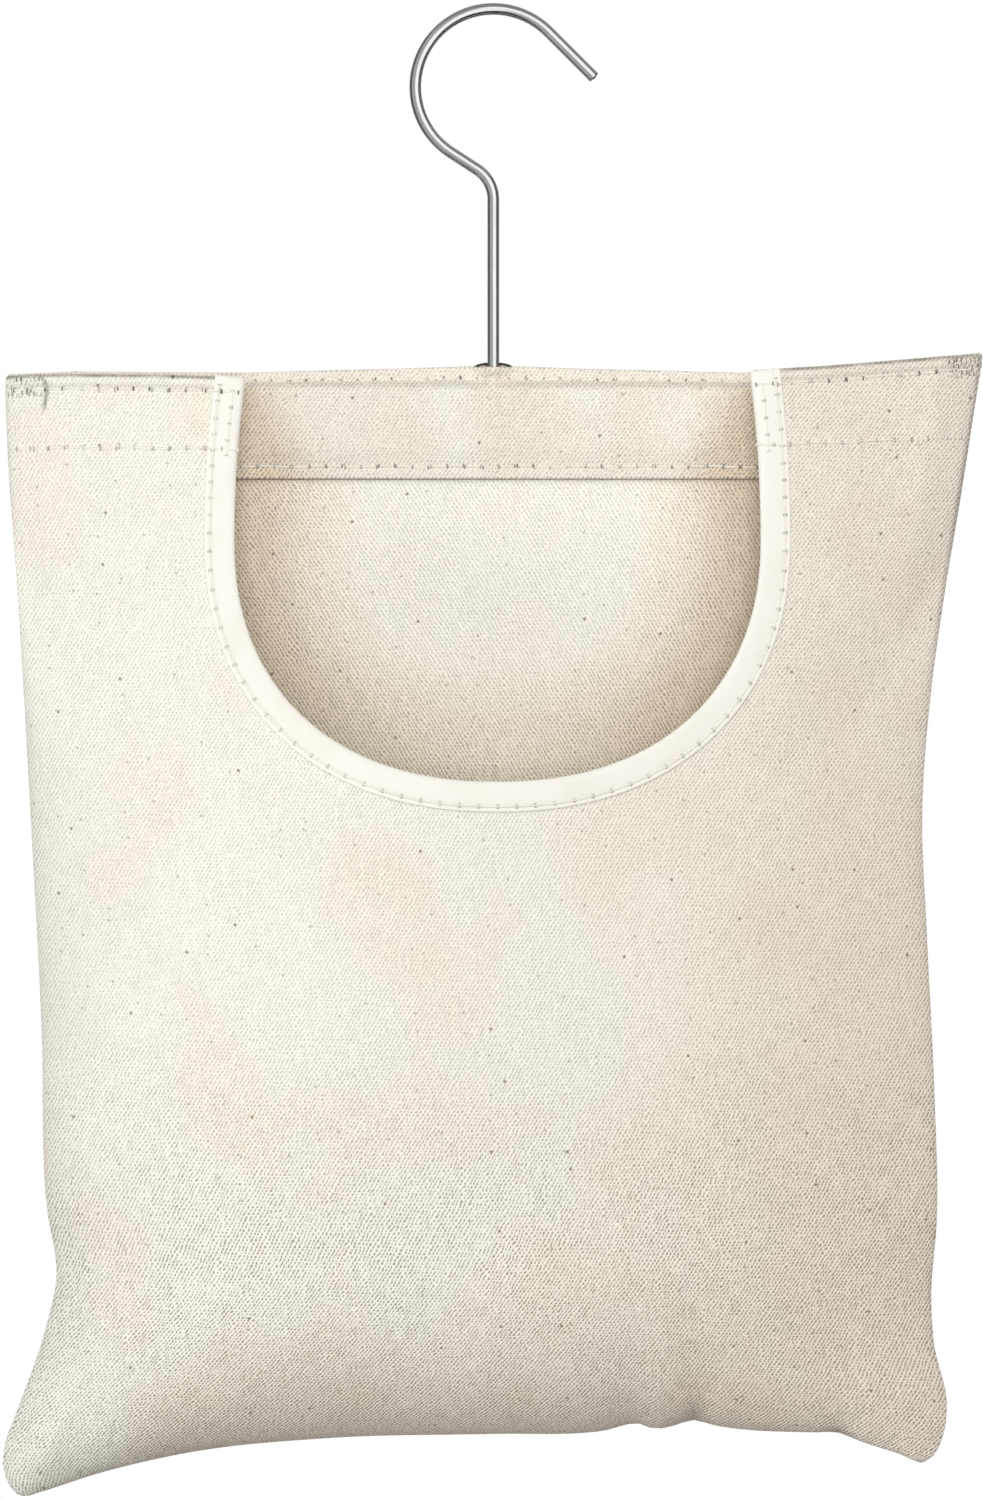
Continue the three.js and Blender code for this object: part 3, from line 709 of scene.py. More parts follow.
def inner_wall_y(x, drop):
    """Depth of the hem's inner wall: the tunnel's front, closing below the bar, with its ripples."""
    u = share_across(x, drop)
    closing = rising(drop, TUNNEL_END, TUNNEL_CLOSE)
    wall = lerp(-wall_half(x, u, drop), hem_shift(u) - 3 * LAP, closing)
    return (wall - hem_ripple(x, drop) + stitched(drop)) * np.maximum(seam_turn(u), WALL_AT_SEAM)


def outer_wall_y(x, drop):
    """Depth of the back panel's outer face along the tunnel, closing below the bar."""
    u = share_across(x, drop)
    closing = rising(drop, TUNNEL_END, TUNNEL_CLOSE)
    wall = lerp(wall_half(x, u, drop), hem_shift(u) + LAP, closing)
    return to_seam(wall - stitched(drop), u)


print("tunnel closes from a drop of", TUNNEL_END.round(1), "to", TUNNEL_CLOSE.round(1))

# %% [markdown]
# The back panel is one folded sheet. It starts at the hem's turned edge inside the bag, climbs the
# tunnel's inner wall, goes over the top fold and down the outside. At the stem the fold is cut open
# as a slit, with its lips pushed apart by the wire.

# %% Rows of the hem
TURNED = 6
TURNED_PRESS = 0.95
TURNED_GAP = 2 * LAP * TURNED_PRESS
TURNED_ROWS = 4
EDGE_ROWS = 3
WALL_ROWS = 44
FOLD_ROWS = 8
OUTER_ROWS = 36
BACK_TUCK = 0.014
SLIT_HALF = 6
SLIT_OPEN = 2.6
SLIT_DEEP = 4.5
LIP_RISE = 1.3
LIP_DIP = 0.5


def hem_profile():
    """Distance below the top edge and wall of each row, from the turned edge to the outside.

    The wall is 2 on the turned edge, 1 on the inner wall and 0 on the outer one, and it goes from
    one to the next as a cosine where the cloth folds.
    """
    edge = half_turn(EDGE_ROWS)
    fold = half_turn(FOLD_ROWS)
    below = [np.linspace(HEM_EDGE - TURNED, HEM_EDGE - LAP, TURNED_ROWS), HEM_EDGE - LAP * (1 - np.sin(edge))]
    below += [np.linspace(HEM_EDGE - LAP, LAP, WALL_ROWS), LAP * (1 - np.sin(fold))]
    below += [np.linspace(LAP, HEM_EDGE, OUTER_ROWS)]
    wall = [np.full(TURNED_ROWS, 2.0), 2 - (1 - np.cos(edge)) / 2, np.ones(WALL_ROWS)]
    wall += [(1 + np.cos(fold)) / 2, np.zeros(OUTER_ROWS)]
    return np.concatenate(below)[:, None], np.concatenate(wall)[:, None]


def open_slit(x, y, drop, below, wall):
    """Depth and drop with the fold's lips pushed apart round the stem, as half an ellipse.

    The inner lip dips a little and the outer one stands up.
    """
    side = np.sign(wall - 0.5)
    apart = SLIT_OPEN * np.sqrt(np.clip(1 - (x / SLIT_HALF) ** 2, 0, 1))
    near = (1 - ease(below / SLIT_DEEP)) * (wall <= 1)
    lower = np.where(side > 0, LIP_DIP, -LIP_RISE)
    return y - side * apart * near, drop + near**3 * apart / SLIT_OPEN * lower


def hem_part(u):
    """Points and flat coordinates of the hem's rows at the given shares across."""
    below, wall = [column * np.ones_like(u) for column in hem_profile()]
    across = (1 + u) / 2
    drop = back_drop(lerp(left_edge(below), right_edge(below), across), below)
    x = lerp(left_edge(drop), right_edge(drop), across)
    inner = inner_wall_y(x, drop)
    to_inner = np.clip(wall, 0, 1)
    turned = lerp(inner, inner + TURNED_GAP, np.clip(wall - 1, 0, 1))
    y = np.where(wall > 1, turned, lerp(outer_wall_y(x, drop), inner, to_inner))
    x = x * (1 - BACK_TUCK * to_inner * np.abs(u) ** TUCK_POWER)
    y, drop = open_slit(x, y, drop, below, wall)
    length = np.where(wall > 0.5, drop, -drop)
    flat = np.stack([-np.broadcast_to(u, x.shape) * FLAT_HALF, length], axis=-1)
    return np.stack([x, y, BAG_TOP - drop], axis=-1), flat


print("hem", len(hem_profile()[0]), "rows")

# %% [markdown]
# Below the hem the rows have to go from a nearly straight line to a bottom seam with two ears, and
# their ends have to stay on the side seams. So each row is a blend of those two lines, to which the
# distances of the side seams are added, less and less towards the other side.

# %% Rows below the hem
LOWER_ROWS = 110
LOWER_CROWD = 1.35
SEAM_STEPS = 400


def at_share(line, share):
    """Points at shares of the way along a line of even points."""
    steps = np.linspace(0, 1, len(line))
    return np.stack([np.interp(share, steps, column) for column in line.T], axis=-1)


def lower_part(u):
    """Points and flat coordinates of the rows below the hem at the given shares across.

    The hem's line blended into the bottom seam, plus what each side seam stands out from that
    blend, times the share of the way from the other seam.
    """
    across = (1 + u) / 2
    down = (1 - (1 - np.linspace(0, 1, LOWER_ROWS)) ** LOWER_CROWD)[1:]
    left = even_steps(left_part[np.searchsorted(left_part[:, 1], HEM_EDGE) :], SEAM_STEPS)
    right = even_steps(right_part[np.searchsorted(right_part[:, 1], HEM_EDGE) :], SEAM_STEPS)
    foot = at_share(even_steps(outline[left_tip : right_tip + 1], SEAM_STEPS), across)
    hem = np.stack([lerp(left[0, 0], right[0, 0], across), np.full_like(u, HEM_EDGE)], axis=-1)
    w = down[:, None, None]
    a = across[None, :, None]
    left_stand = at_share(left, down)[:, None] - lerp(hem[0], foot[0], w)
    right_stand = at_share(right, down)[:, None] - lerp(hem[-1], foot[-1], w)
    place = lerp(hem, foot, w) + (1 - a) * left_stand + a * right_stand
    x = place[..., 0]
    drop = place[..., 1]
    length = -drop - BACK_BULGE * rounded_under(x, drop)
    flat = np.stack([-np.broadcast_to(u, x.shape) * FLAT_HALF, length], axis=-1)
    return np.stack([x, back_y(x, drop), BAG_TOP - drop], axis=-1), flat


print("below the hem", LOWER_ROWS - 1, "rows")

# %% [markdown]
# The two parts are one mesh. Its columns lie closer at the slit and towards the seams, and the
# squares between the lips are left out, so the slit is a real opening. Inside the bag the panel
# wears a finish of its own, which the Solidify modifier puts on the sheet's far side.

# %% Back panel
EVEN_COLUMNS = 151
SEAM_CROWD = 0.25
SLIT_COLUMNS = 25
SLIT_REACH = 9
SLIT_SHARE = 0.06


def back_columns():
    """Shares across: even, with closer columns at the slit and, by a cubic, towards the seams."""
    even = np.linspace(-1, 1, EVEN_COLUMNS)
    even = even * (1 + SEAM_CROWD - SEAM_CROWD * even**2)
    slit = np.linspace(-SLIT_REACH, SLIT_REACH, SLIT_COLUMNS) / FLAT_HALF
    return np.sort(np.concatenate([even[np.abs(even) > SLIT_SHARE], slit]))


parts = zip(hem_part(back_columns()), lower_part(back_columns()))
points, flat = [np.concatenate(part) for part in parts]
rows, columns = points.shape[:2]
fold_row = TURNED_ROWS + EDGE_ROWS + WALL_ROWS + FOLD_ROWS // 2 - 1
slit_middle = (points[fold_row, :-1, 0] + points[fold_row, 1:, 0]) / 2
in_slit = np.zeros((rows - 1, columns - 1), bool)
in_slit[fold_row] = np.abs(slit_middle) < SLIT_HALF
back_panel = mesh_piece("back_cloth", points, grid_faces(rows, columns)[~in_slit.ravel()], flat)
thicken(back_panel, CLOTH, next_finish=1)
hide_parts("back_panel")
print("back panel", (rows, columns), "grid, slit of", int(in_slit.sum()), "squares")

# %% [markdown]
# The slit's lips and the hem's turned edge are dark lines of painted shade, for the shadow in the slit and
# under the turned edge. Inside the mouth a tan rim of painted shade goes round a pale middle, where the
# front's edges shade the back: the closer to the mouth's edge, the more tan, with wedges at both ends of the
# hem. It is measured as a share of the mouth, so the rim follows the U. The hollows between the hem's ripples
# are painted tan as shade too.

# %% Lines and tan of the back
LIP_FADE = 3
LIP_PAST = 0.3
EDGE_DARK = 0.5
RIM_SHADE_TAN, RIM_START, RIM_WIDE = 2.0, 0.5, 0.46
WEDGE_TOP, WEDGE_FOOT, WEDGE_WIDE = 0.8, 0.6, 0.24
BELOW_FOLD = (3, 9)
LEFT_PALER, LEFT_REACH = 0.06, 60
FOOT_PALER, FOOT_DOWN, FOOT_WIDE = 0.42, (95, 130), 50
HEM_SHADE_TAN, HEM_HOLLOW = 0.22, 1.4


def beside_mouth(x, drop):
    """How far out a place lies as a share of the mouth: 0 in its middle, 1 on its edge, more beyond."""
    across = np.abs(x - MOUTH_CENTRE) / MOUTH_HALF
    down = np.maximum(drop - MOUTH_TURN, 0) / MOUTH_ROUND
    return (across**MOUTH_POWER + down**MOUTH_POWER) ** (1 / MOUTH_POWER)


def rim_shade_tan(x, drop, in_hem):
    """Tan of painted shade round the mouth: a soft ramp over the share of the mouth, paler on the left and at
    the foot.
    """
    wedge = lerp(WEDGE_TOP, WEDGE_FOOT, np.clip(drop / HEM_EDGE, 0, 1))
    start = np.where(in_hem, wedge, RIM_START)
    width = np.where(in_hem, WEDGE_WIDE, RIM_WIDE)
    paler = LEFT_PALER * ease(-x / LEFT_REACH)
    paler = paler + FOOT_PALER * rising(drop, *FOOT_DOWN) * bump(x, FOOT_WIDE)
    near_edge = ease((beside_mouth(x, drop) - start) / width)
    return RIM_SHADE_TAN * near_edge * rising(drop, *BELOW_FOLD) * (1 - paler)


x, drop = points[..., 0], BAG_TOP - points[..., 2]
row = np.arange(rows)[:, None]
from_slit = np.abs(row - fold_row - 0.5) - 0.5
# Painted shade: dark lines at the slit's lips and along the hem's turned edge.
lip = ease(1 - from_slit / LIP_FADE) * (np.abs(x) < SLIT_HALF + LIP_PAST)
turned_edge = EDGE_DARK * (np.abs(row - TURNED_ROWS - EDGE_ROWS // 2) <= EDGE_ROWS // 2)
in_hem = row <= fold_row
# Painted shade: tan round the mouth and in the hollows between the hem's ripples.
rim = rim_shade_tan(x, drop, in_hem)
hollows = HEM_SHADE_TAN * np.clip(HEM_HOLLOW - hem_ripple(x, drop), 0, None)
paint(back_panel, "shade", np.maximum(lip, turned_edge))
paint(back_panel, "tan", np.maximum(rim, hollows) * in_hem)
paint(back_panel, "inside_shade_tan", rim * ~in_hem)
print("tan inside the mouth up to", rim.max().round(2))

# %% [markdown]
# A white cotton tape binds the mouth: it is folded over the raw edge and sewn through both legs.
# It is a folded profile carried along the mouth, lying on the front panel's own height field. Over
# the hems it goes round two layers of cloth, so there its legs stand further apart.

# %% Mouth binding
TAPE = 0.6
TAPE_WIDTH = 9.7
TAPE_CLEAR = 0.12
TAPE_ROW = 7.9
TAPE_STEPS = 340
TAPE_LENGTH = 370
TAPE_FOLD = 1.2
BACK_LEG_SHORT = 0.8
FRONT_LEG_POINTS = 22
FOLD_POINTS = 9
BACK_LEG_POINTS = 14
TAPE_PUFF = 0.28
PUFF_POWER = 0.8
TAPE_SINK = 0.3
TAPE_SINK_WIDE = 0.7
HEM_ENDS = (FRONT_HEM + 4, FRONT_HEM + 12)


def tape_profile():
    """The tape across its width: distance into the cloth, and the leg, from 0 in front to 1 behind."""
    turn = half_turn(FOLD_POINTS)
    front = np.linspace(TAPE_WIDTH, TAPE_FOLD, FRONT_LEG_POINTS)
    back = np.linspace(TAPE_FOLD, TAPE_WIDTH - BACK_LEG_SHORT, BACK_LEG_POINTS)
    into = np.concatenate([front, TAPE_FOLD * (1 - np.sin(turn)), back])
    leg = np.concatenate([np.zeros(FRONT_LEG_POINTS), (1 - np.cos(turn)) / 2, np.ones(BACK_LEG_POINTS)])
    return into, leg


def tape_grid():
    """Points and flat coordinates of the tape: its profile at each step of the mouth.

    The front leg puffs up as a sine between its edges, and the row of stitches presses a bell into it.
    """
    path, into_cloth = mouth_edge(TAPE_STEPS)
    into, leg = tape_profile()
    x = path[:, None, 0] + into * into_cloth[:, None, 0]
    drop = path[:, None, 1] + into * into_cloth[:, None, 1]
    second_layer = 1 - rising(path[:, None, 1], *HEM_ENDS)
    stand = CLOTH / 2 + TAPE_CLEAR + TAPE / 2
    puff = TAPE_PUFF * np.sin(np.pi * np.clip(into / TAPE_WIDTH, 0, 1)) ** PUFF_POWER
    puff = puff - TAPE_SINK * bump(into - TAPE_ROW, TAPE_SINK_WIDE)
    y = front_y(x, drop) - stand - puff * (leg < 0.5) + leg * (2 * stand + second_layer * LAYER)
    length = np.linspace(0, TAPE_LENGTH, TAPE_STEPS)[:, None] * np.ones_like(x)
    width = np.concatenate([[0], np.cumsum(np.abs(np.diff(into)))]) * np.ones_like(x)
    return np.stack([x, y, BAG_TOP - drop], axis=-1), np.stack([length, width], axis=-1)


points, flat = tape_grid()
tape = mesh_piece("mouth_tape", points, grid_faces(*points.shape[:2])[:, ::-1], flat)
thicken(tape, TAPE)
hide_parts("mouth_binding")
print("tape", points.shape[:2], "grid")

# %% [markdown]
# Stitches are what tells sewing from glue. Each one is a short tube of thread with a flat half disc at both
# ends, and where two stitches meet the discs make one round needle hole, painted dark as its shade. A stitch
# is repeated hundreds of times, so it has only a few dozen faces.

# %% One stitch
STITCH_PITCH = 5.7
THREAD_RADIUS = 0.3
THREAD_LIFT = 0.12
HOLE_RADIUS = 0.75
HOLE_SOFT = 0.3
HOLE_FLAT = 0.12
HOLE_LEAST = 0.1
HOLE_STEPS = (0, 0.3, 0.72)
STITCH_SIDES = 6


def stitch_template():
    """Points of one stitch as (along, side, out) and how near each is to a needle hole.

    Rings of points round a straight thread. Towards its ends their width grows to the half disc's
    chord and their height shrinks.
    """
    head = np.array(HOLE_STEPS) - STITCH_PITCH / 2
    along = np.concatenate([head, -head[::-1]])
    from_end = STITCH_PITCH / 2 - np.abs(along)
    hole = ease((HOLE_RADIUS - from_end) / HOLE_SOFT)
    disc = np.sqrt(np.clip(HOLE_RADIUS**2 - from_end**2, HOLE_LEAST**2, None))
    wide = lerp(THREAD_RADIUS, disc, hole)
    tall = lerp(THREAD_RADIUS, HOLE_FLAT, hole)
    angle = 2 * np.pi * np.arange(STITCH_SIDES) / STITCH_SIDES
    side = wide[:, None] * np.cos(angle)
    out = THREAD_LIFT + tall[:, None] * np.sin(angle)
    points = np.stack([np.repeat(along, STITCH_SIDES), side.ravel(), out.ravel()], axis=1)
    return points, np.repeat(hole, STITCH_SIDES)


def stitch_faces():
    """Squares between the rings, and two squares that close the six-sided ring at each end."""
    last = (2 * len(HOLE_STEPS) - 1) * STITCH_SIDES
    ring = np.arange(0, last, STITCH_SIDES)[:, None]
    here = np.arange(STITCH_SIDES)
    after = (here + 1) % STITCH_SIDES
    corners = [ring + here, ring + after, ring + after + STITCH_SIDES, ring + here + STITCH_SIDES]
    tube = np.stack(corners, axis=-1).reshape(-1, 4)
    cap = np.array([[0, 1, 2, 3], [0, 3, 4, 5]])
    return np.concatenate([tube, cap[:, ::-1], cap + last])


print("one stitch", len(stitch_faces()), "squares")

# %% [markdown]
# All the stitches of a row are one mesh: the same template at every place, turned to the row's direction and
# stretched to its length. A value at each point says how close it is to a needle hole, and the thread's
# finish darkens there as painted shade of the hole. Each row replaces one plain thread of the solid model.

# %% Sewing a row
HOLE_UNEVEN = 0.6
SLOPE_STEP = 0.5


def sew(name, node, places, along, out, length, dark):
    """One mesh of stitches at places, with directions along the row and out of the cloth.

    Each has its length in millimetres, which stretches the thread and not the needle holes. The holes'
    painted shade is about as dark as given, each a little different.
    """
    template, hole = stitch_template()
    thread_half = STITCH_PITCH / 2 - HOLE_RADIUS
    thread_part = np.clip(template[:, 0], -thread_half, thread_half)
    stretch = (length / 2 - HOLE_RADIUS) / thread_half
    reach = thread_part * stretch[:, None] + template[:, 0] - thread_part
    out = unit(out)
    along = unit(along - np.sum(along * out, axis=1, keepdims=True) * out)
    side = np.cross(out, along)
    points = places[:, None] + reach[..., None] * along[:, None]
    points = points + template[:, 1:2] * side[:, None] + template[:, 2:3] * out[:, None]
    shift = np.arange(len(places))[:, None, None] * len(template)
    row = mesh_piece(name, points, (stitch_faces() + shift).reshape(-1, 4))
    chance = np.random.default_rng(len(places)).uniform(0, 1, (len(places), 1))
    paint(row, "hole", dark * chance**HOLE_UNEVEN * hole)
    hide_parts(node)
    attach(row, "bag")
    return row


def face_out(depth, x, drop, side):
    """Direction out of a cloth face given by its depth, on the side of -1 (front) or 1 (back).

    It is square to the slopes across and down, which are measured over a small step.
    """
    slope_x = (depth(x + SLOPE_STEP, drop) - depth(x - SLOPE_STEP, drop)) / (2 * SLOPE_STEP)
    slope_drop = (depth(x, drop + SLOPE_STEP) - depth(x, drop - SLOPE_STEP)) / (2 * SLOPE_STEP)
    return side * np.stack([-slope_x, np.ones_like(x), slope_drop], axis=-1)


print("a flat front faces", face_out(lambda x, drop: 0 * x, np.zeros(1), np.zeros(1), -1)[0])

# %% [markdown]
# Most rows go level across the bag, with the small wobble of a hand-guided machine. The back hem's
# rows go through both walls and show on both faces. At the outer ends of the front's top rows the
# machine was run back and forth, which leaves a small patch of crossing stitches, a tack.

# %% Places of the level rows
WOBBLE, WOBBLE_ACROSS, WOBBLE_DOWN = 0.25, 2.4, 1.7
TACK_STITCHES = 5
TACK_PITCH = 2.3
TACK_LINES = (-3.0, -1.0, 1.4)
TACK_ACROSS, TACK_ACROSS_TURN = 0.7, 2.9
TACK_DOWN, TACK_DOWN_TURN = 0.5, 4.1


def row_places(from_x, to_x, drop_of):
    """Places across, drops and lengths of a level row's stitches, with a sine as wobble."""
    count = int((to_x - from_x) / STITCH_PITCH) + 1
    x, step = np.linspace(from_x, to_x, count, retstep=True)
    number = np.arange(count)
    x = x + WOBBLE * np.sin(number * WOBBLE_ACROSS)
    drop = drop_of(x) + WOBBLE * np.sin(number * WOBBLE_DOWN)
    return x, drop, np.full(count, step)


def tack_places(from_x, drop_of):
    """Places across, drops and lengths of a tack: three short lines, one over the other."""
    number = np.arange(TACK_STITCHES * len(TACK_LINES))
    x = from_x + number % TACK_STITCHES * TACK_PITCH + TACK_ACROSS * np.sin(number * TACK_ACROSS_TURN)
    lines = np.repeat(TACK_LINES, TACK_STITCHES)
    drop = drop_of(x) + lines + TACK_DOWN * np.sin(number * TACK_DOWN_TURN)
    return x, drop, np.full(len(x), TACK_PITCH)


def on_face(depth, side, x, drop, rise):
    """Places on a face of the cloth, and the directions along the row and out of the cloth there."""
    place = np.stack([x, depth(x, drop) + side * CLOTH / 2, BAG_TOP - drop], axis=-1)
    ahead = np.stack([np.ones_like(x), depth(x + 1, drop) - depth(x, drop), rise], axis=-1)
    return place, ahead, face_out(depth, x, drop, side)


def level_row(faces, name, node, from_x, to_x, drop_of, dark, tack=None):
    """A row across the bag on each of the faces, which are depth functions and the sides they look to."""
    x, drop, length = row_places(from_x, to_x, drop_of)
    if tack is not None:
        both = zip((x, drop, length), tack_places(tack, drop_of))
        x, drop, length = [np.concatenate(pair) for pair in both]
    rise = drop_of(x) - drop_of(x + 1)
    on_faces = [on_face(depth, side, x, drop, rise) for depth, side in faces]
    places, ahead, out = [np.concatenate(parts) for parts in zip(*on_faces)]
    return sew(name, node, places, ahead, out, np.tile(length, len(faces)), dark)


print("a tack has", len(tack_places(0, np.zeros_like)[0]), "stitches")

# %% [markdown]
# Seven rows are level. Each line of the tables gives the row's name, the CAD node that it replaces, where it
# starts and ends, which height it follows and how dark the painted shade of its needle holes is. The back's
# top row stops at the slit, and the front's rows end on the tape.

# %% Level rows
FRONT_HEM_ROW = 25.5
TAPE_STEP = TAPE_CLEAR + TAPE + 0.1
TAPE_PAST = 0.2
ROW_PAST = 1
MOUTH_LEFT = MOUTH_CENTRE - MOUTH_HALF - ROW_PAST
MOUTH_RIGHT = MOUTH_CENTRE + MOUTH_HALF + ROW_PAST


def front_face(x, drop):
    """Depth under the front's rows: the front panel's, and the tape's where it covers the panel."""
    on_tape = mouth_side(drop) + TAPE_WIDTH + TAPE_PAST - np.abs(x - MOUTH_CENTRE)
    return front_y(x, drop) - TAPE_STEP * ease(on_tape / (2 * TAPE_PAST))


def hem_drop(x):
    """Drop of the back hem's row, which is level."""
    return np.full_like(x, HEM_ROW)


def header_drop(x):
    """Drop of the back's top row, which follows the fold."""
    return back_drop(x, np.full_like(x, TOP_ROW))


def front_top_drop(x):
    """Drop of the front's top rows, which follow its top edge."""
    return front_drop(x, np.full_like(x, FRONT_TOP_ROW))


def front_hem_drop(x):
    """Drop of the rows at the front's hems."""
    return front_drop(x, np.full_like(x, FRONT_HEM_ROW))


BACK_FACES = [(inner_wall_y, -1), (outer_wall_y, 1)]
BACK_ROWS = [
    ("back_hem_thread", "back_hem_stitch", -156, 154, hem_drop, 0.9),
    ("back_top_thread_left", "back_top_stitch_left", -157, -8, header_drop, 1.0),
    ("back_top_thread_right", "back_top_stitch_right", 8, 156, header_drop, 1.0),
]
FRONT_FACES = [(front_face, -1)]
FRONT_ROWS = [
    ("front_top_thread_left", "front_top_stitch_left", -157, MOUTH_LEFT, front_top_drop, 1.0, -160),
    ("front_top_thread_right", "front_top_stitch_right", MOUTH_RIGHT, 156, front_top_drop, 1.0, 152),
    ("front_hem_thread_left", "front_hem_stitch_left", -156, MOUTH_LEFT, front_hem_drop, 0.6),
    ("front_hem_thread_right", "front_hem_stitch_right", MOUTH_RIGHT, 153, front_hem_drop, 0.6),
]
back_rows = [level_row(BACK_FACES, *row) for row in BACK_ROWS]
front_rows = [level_row(FRONT_FACES, *row) for row in FRONT_ROWS]
print("level rows", len(back_rows), "behind and", len(front_rows), "in front")

# %% [markdown]
# The last row sews the tape down. It keeps a set distance from the mouth's edge, and at its two
# upper ends it was sewn back beside itself, which keeps a seam from running open.

# %% The tape's row
BINDING_STITCHES = 66
BINDING_DARK = 0.35
BINDING_LIFT = 0.15
SEWN_BACK = np.array([0, 1, 2, 3, -4, -3, -2, -1])
BACK_ASIDE = 4.4
BACK_DOWN = 2


def binding_row():
    """The tape's row along the mouth, and the stitches of its ends again, moved aside and down."""
    path, into_cloth = mouth_edge(BINDING_STITCHES)
    x, drop = (path + TAPE_ROW * into_cloth)[1:-1].T
    along = np.gradient(np.stack([x, front_y(x, drop), -drop], axis=-1), axis=0)
    back_x = x[SEWN_BACK] - np.sign(x[SEWN_BACK]) * BACK_ASIDE
    x = np.concatenate([x, back_x])
    drop = np.concatenate([drop, drop[SEWN_BACK] + BACK_DOWN])
    along = np.concatenate([along, along[SEWN_BACK]])
    y = front_y(x, drop) - CLOTH / 2 - TAPE_CLEAR - TAPE - BINDING_LIFT
    places = np.stack([x, y, BAG_TOP - drop], axis=-1)
    length = np.linalg.norm(along, axis=1)
    out = face_out(front_y, x, drop, -1)
    return sew("binding_thread", "binding_stitch", places, along, out, length, BINDING_DARK)


front_rows.append(binding_row())
print("rows of stitches", len(back_rows + front_rows))

# %% [markdown]
# The hook is one steel wire: a cut tip, an open loop, a sloping neck and a straight stem that ends
# in a peened head under the bar. Its line is flat, made of straights and two arcs that meet without
# a corner, and the CAD node's box gives its sizes.

# %% The wire's line
hook_low, hook_high = box_mm("wire_hook")
WIRE = hook_high[2] / 2
LOOP = -hook_low[0] - WIRE
TIP_ANGLE = np.radians(45)
TIP_LENGTH = 22
NECK_SLOPE = np.radians(33)
NECK_BEND = 12
LOOP_STEPS = 90
BEND_STEPS = 24
WIRE_STEPS = 420


def arc(centre, radius, start, end, count):
    """Points of a circle's arc in the upright plane, as (x, z)."""
    angle = np.linspace(start, end, count)
    return np.stack([centre[0] + radius * np.cos(angle), centre[1] + radius * np.sin(angle)], axis=1)


def hook_path():
    """The wire's line from its tip to the stem's lower end: straight, loop, straight, bend, straight."""
    loop = arc((0, WIRE - LOOP), LOOP, TIP_ANGLE, 1.5 * np.pi - NECK_SLOPE, LOOP_STEPS)
    tip = loop[0] + TIP_LENGTH * np.array([np.sin(TIP_ANGLE), -np.cos(TIP_ANGLE)])
    bend_x = NECK_BEND * (1 - np.sin(NECK_SLOPE))
    neck = (-loop[-1][0] - bend_x) / np.cos(NECK_SLOPE)
    neck_end = loop[-1] + neck * np.array([np.cos(NECK_SLOPE), -np.sin(NECK_SLOPE)])
    bend_centre = (-NECK_BEND, neck_end[1] - NECK_BEND * np.cos(NECK_SLOPE))
    bend = arc(bend_centre, NECK_BEND, np.pi / 2 - NECK_SLOPE, 0, BEND_STEPS)
    foot = np.array([[0, hook_low[2]]])
    return even_steps(np.concatenate([[tip], loop, bend, foot]), WIRE_STEPS)


print("wire", distance_along(hook_path())[-1].round(), "mm long and", (2 * WIRE).round(1), "thick")

# %% [markdown]
# A circle is carried along that line. A bevelled curve would do the same, but here the circle's
# radius also swells at the peened head and shrinks over the tip's filed edge, and the length along
# the wire is at hand for its finish.

# %% Wire hook
HEAD_RADIUS = hook_high[1]
HEAD_HEIGHT = 2.2
HEAD_ROUND = 1.1
HEAD_SHOULDER = 0.3
TIP_SHARE = 0.72
TIP_FILED = 0.35
CLOSED = 0.001
WIRE_SIDES = 28


def wire_radius(distance):
    """The wire's radius: a quarter circle over the filed tip and another over the peened head."""
    left = distance[-1] - distance
    filed = quarter_circle(distance / TIP_FILED)
    shoulder = ease((HEAD_HEIGHT + HEAD_SHOULDER - left) / (2 * HEAD_SHOULDER))
    head = shoulder * quarter_circle(left / HEAD_ROUND)
    radius = WIRE * lerp(TIP_SHARE, 1, filed) + (HEAD_RADIUS - WIRE) * head
    radius[[0, -1]] = CLOSED
    return radius[:, None]


def hook_grid():
    """The wire's surface: a circle across the line at every step.

    The flat coordinates are the length along the wire and the way round it.
    """
    path = hook_path()
    along = unit(np.gradient(path, axis=0))
    distance = distance_along(path)
    radius = wire_radius(distance)
    turn = np.linspace(0, 2 * np.pi, WIRE_SIDES + 1)
    x = path[:, None, 0] - radius * np.cos(turn) * along[:, None, 1]
    z = path[:, None, 1] + radius * np.cos(turn) * along[:, None, 0]
    y = radius * np.sin(turn)
    flat = np.stack([distance[:, None] * np.ones_like(y), turn * WIRE * np.ones_like(y)], axis=-1)
    return np.stack([x, y, z], axis=-1), flat


points, flat = hook_grid()
hook = mesh_piece("hook_wire", points, grid_faces(*points.shape[:2])[:, ::-1], flat)
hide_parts("wire_hook")
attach(hook, "hook")
print("hook", points.shape[:2], "grid")

# %% [markdown]
# All the cloth hangs on the bar, so it rides on the bag's body, which turns about the stem.

# %% Ride on the bag's body
for piece in (front_panel, back_panel, tape):
    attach(piece, "bag")

# %% [markdown]
# Finishes are node graphs. To keep them readable, a graph's sockets are wrapped so that plain
# arithmetic on them adds Math nodes, and every other node comes from one method that takes its
# type, its settings and its inputs.

# %% Node graphs as expressions
class Value:
    """One output of a node graph. Arithmetic on it adds Math nodes to that graph."""

    def __init__(self, graph, socket):
        self.graph = graph
        self.socket = socket

    def math(self, operation, first, second=0.0):
        return self.graph.node("Math", {"operation": operation}, {0: first, 1: second})

    def __add__(self, other):
        return self.math("ADD", self, other)

    def __sub__(self, other):
        return self.math("SUBTRACT", self, other)

    def __rsub__(self, other):
        return self.math("SUBTRACT", other, self)

    def __mul__(self, other):
        return self.math("MULTIPLY", self, other)

    def __truediv__(self, other):
        return self.math("DIVIDE", self, other)

    __radd__ = __add__
    __rmul__ = __mul__

    def sine(self):
        """The sine of a value that counts whole turns."""
        return self.math("SINE", self * (2 * np.pi))

    def or_more(self, other):
        """The larger of two values."""
        return self.math("MAXIMUM", self, other)


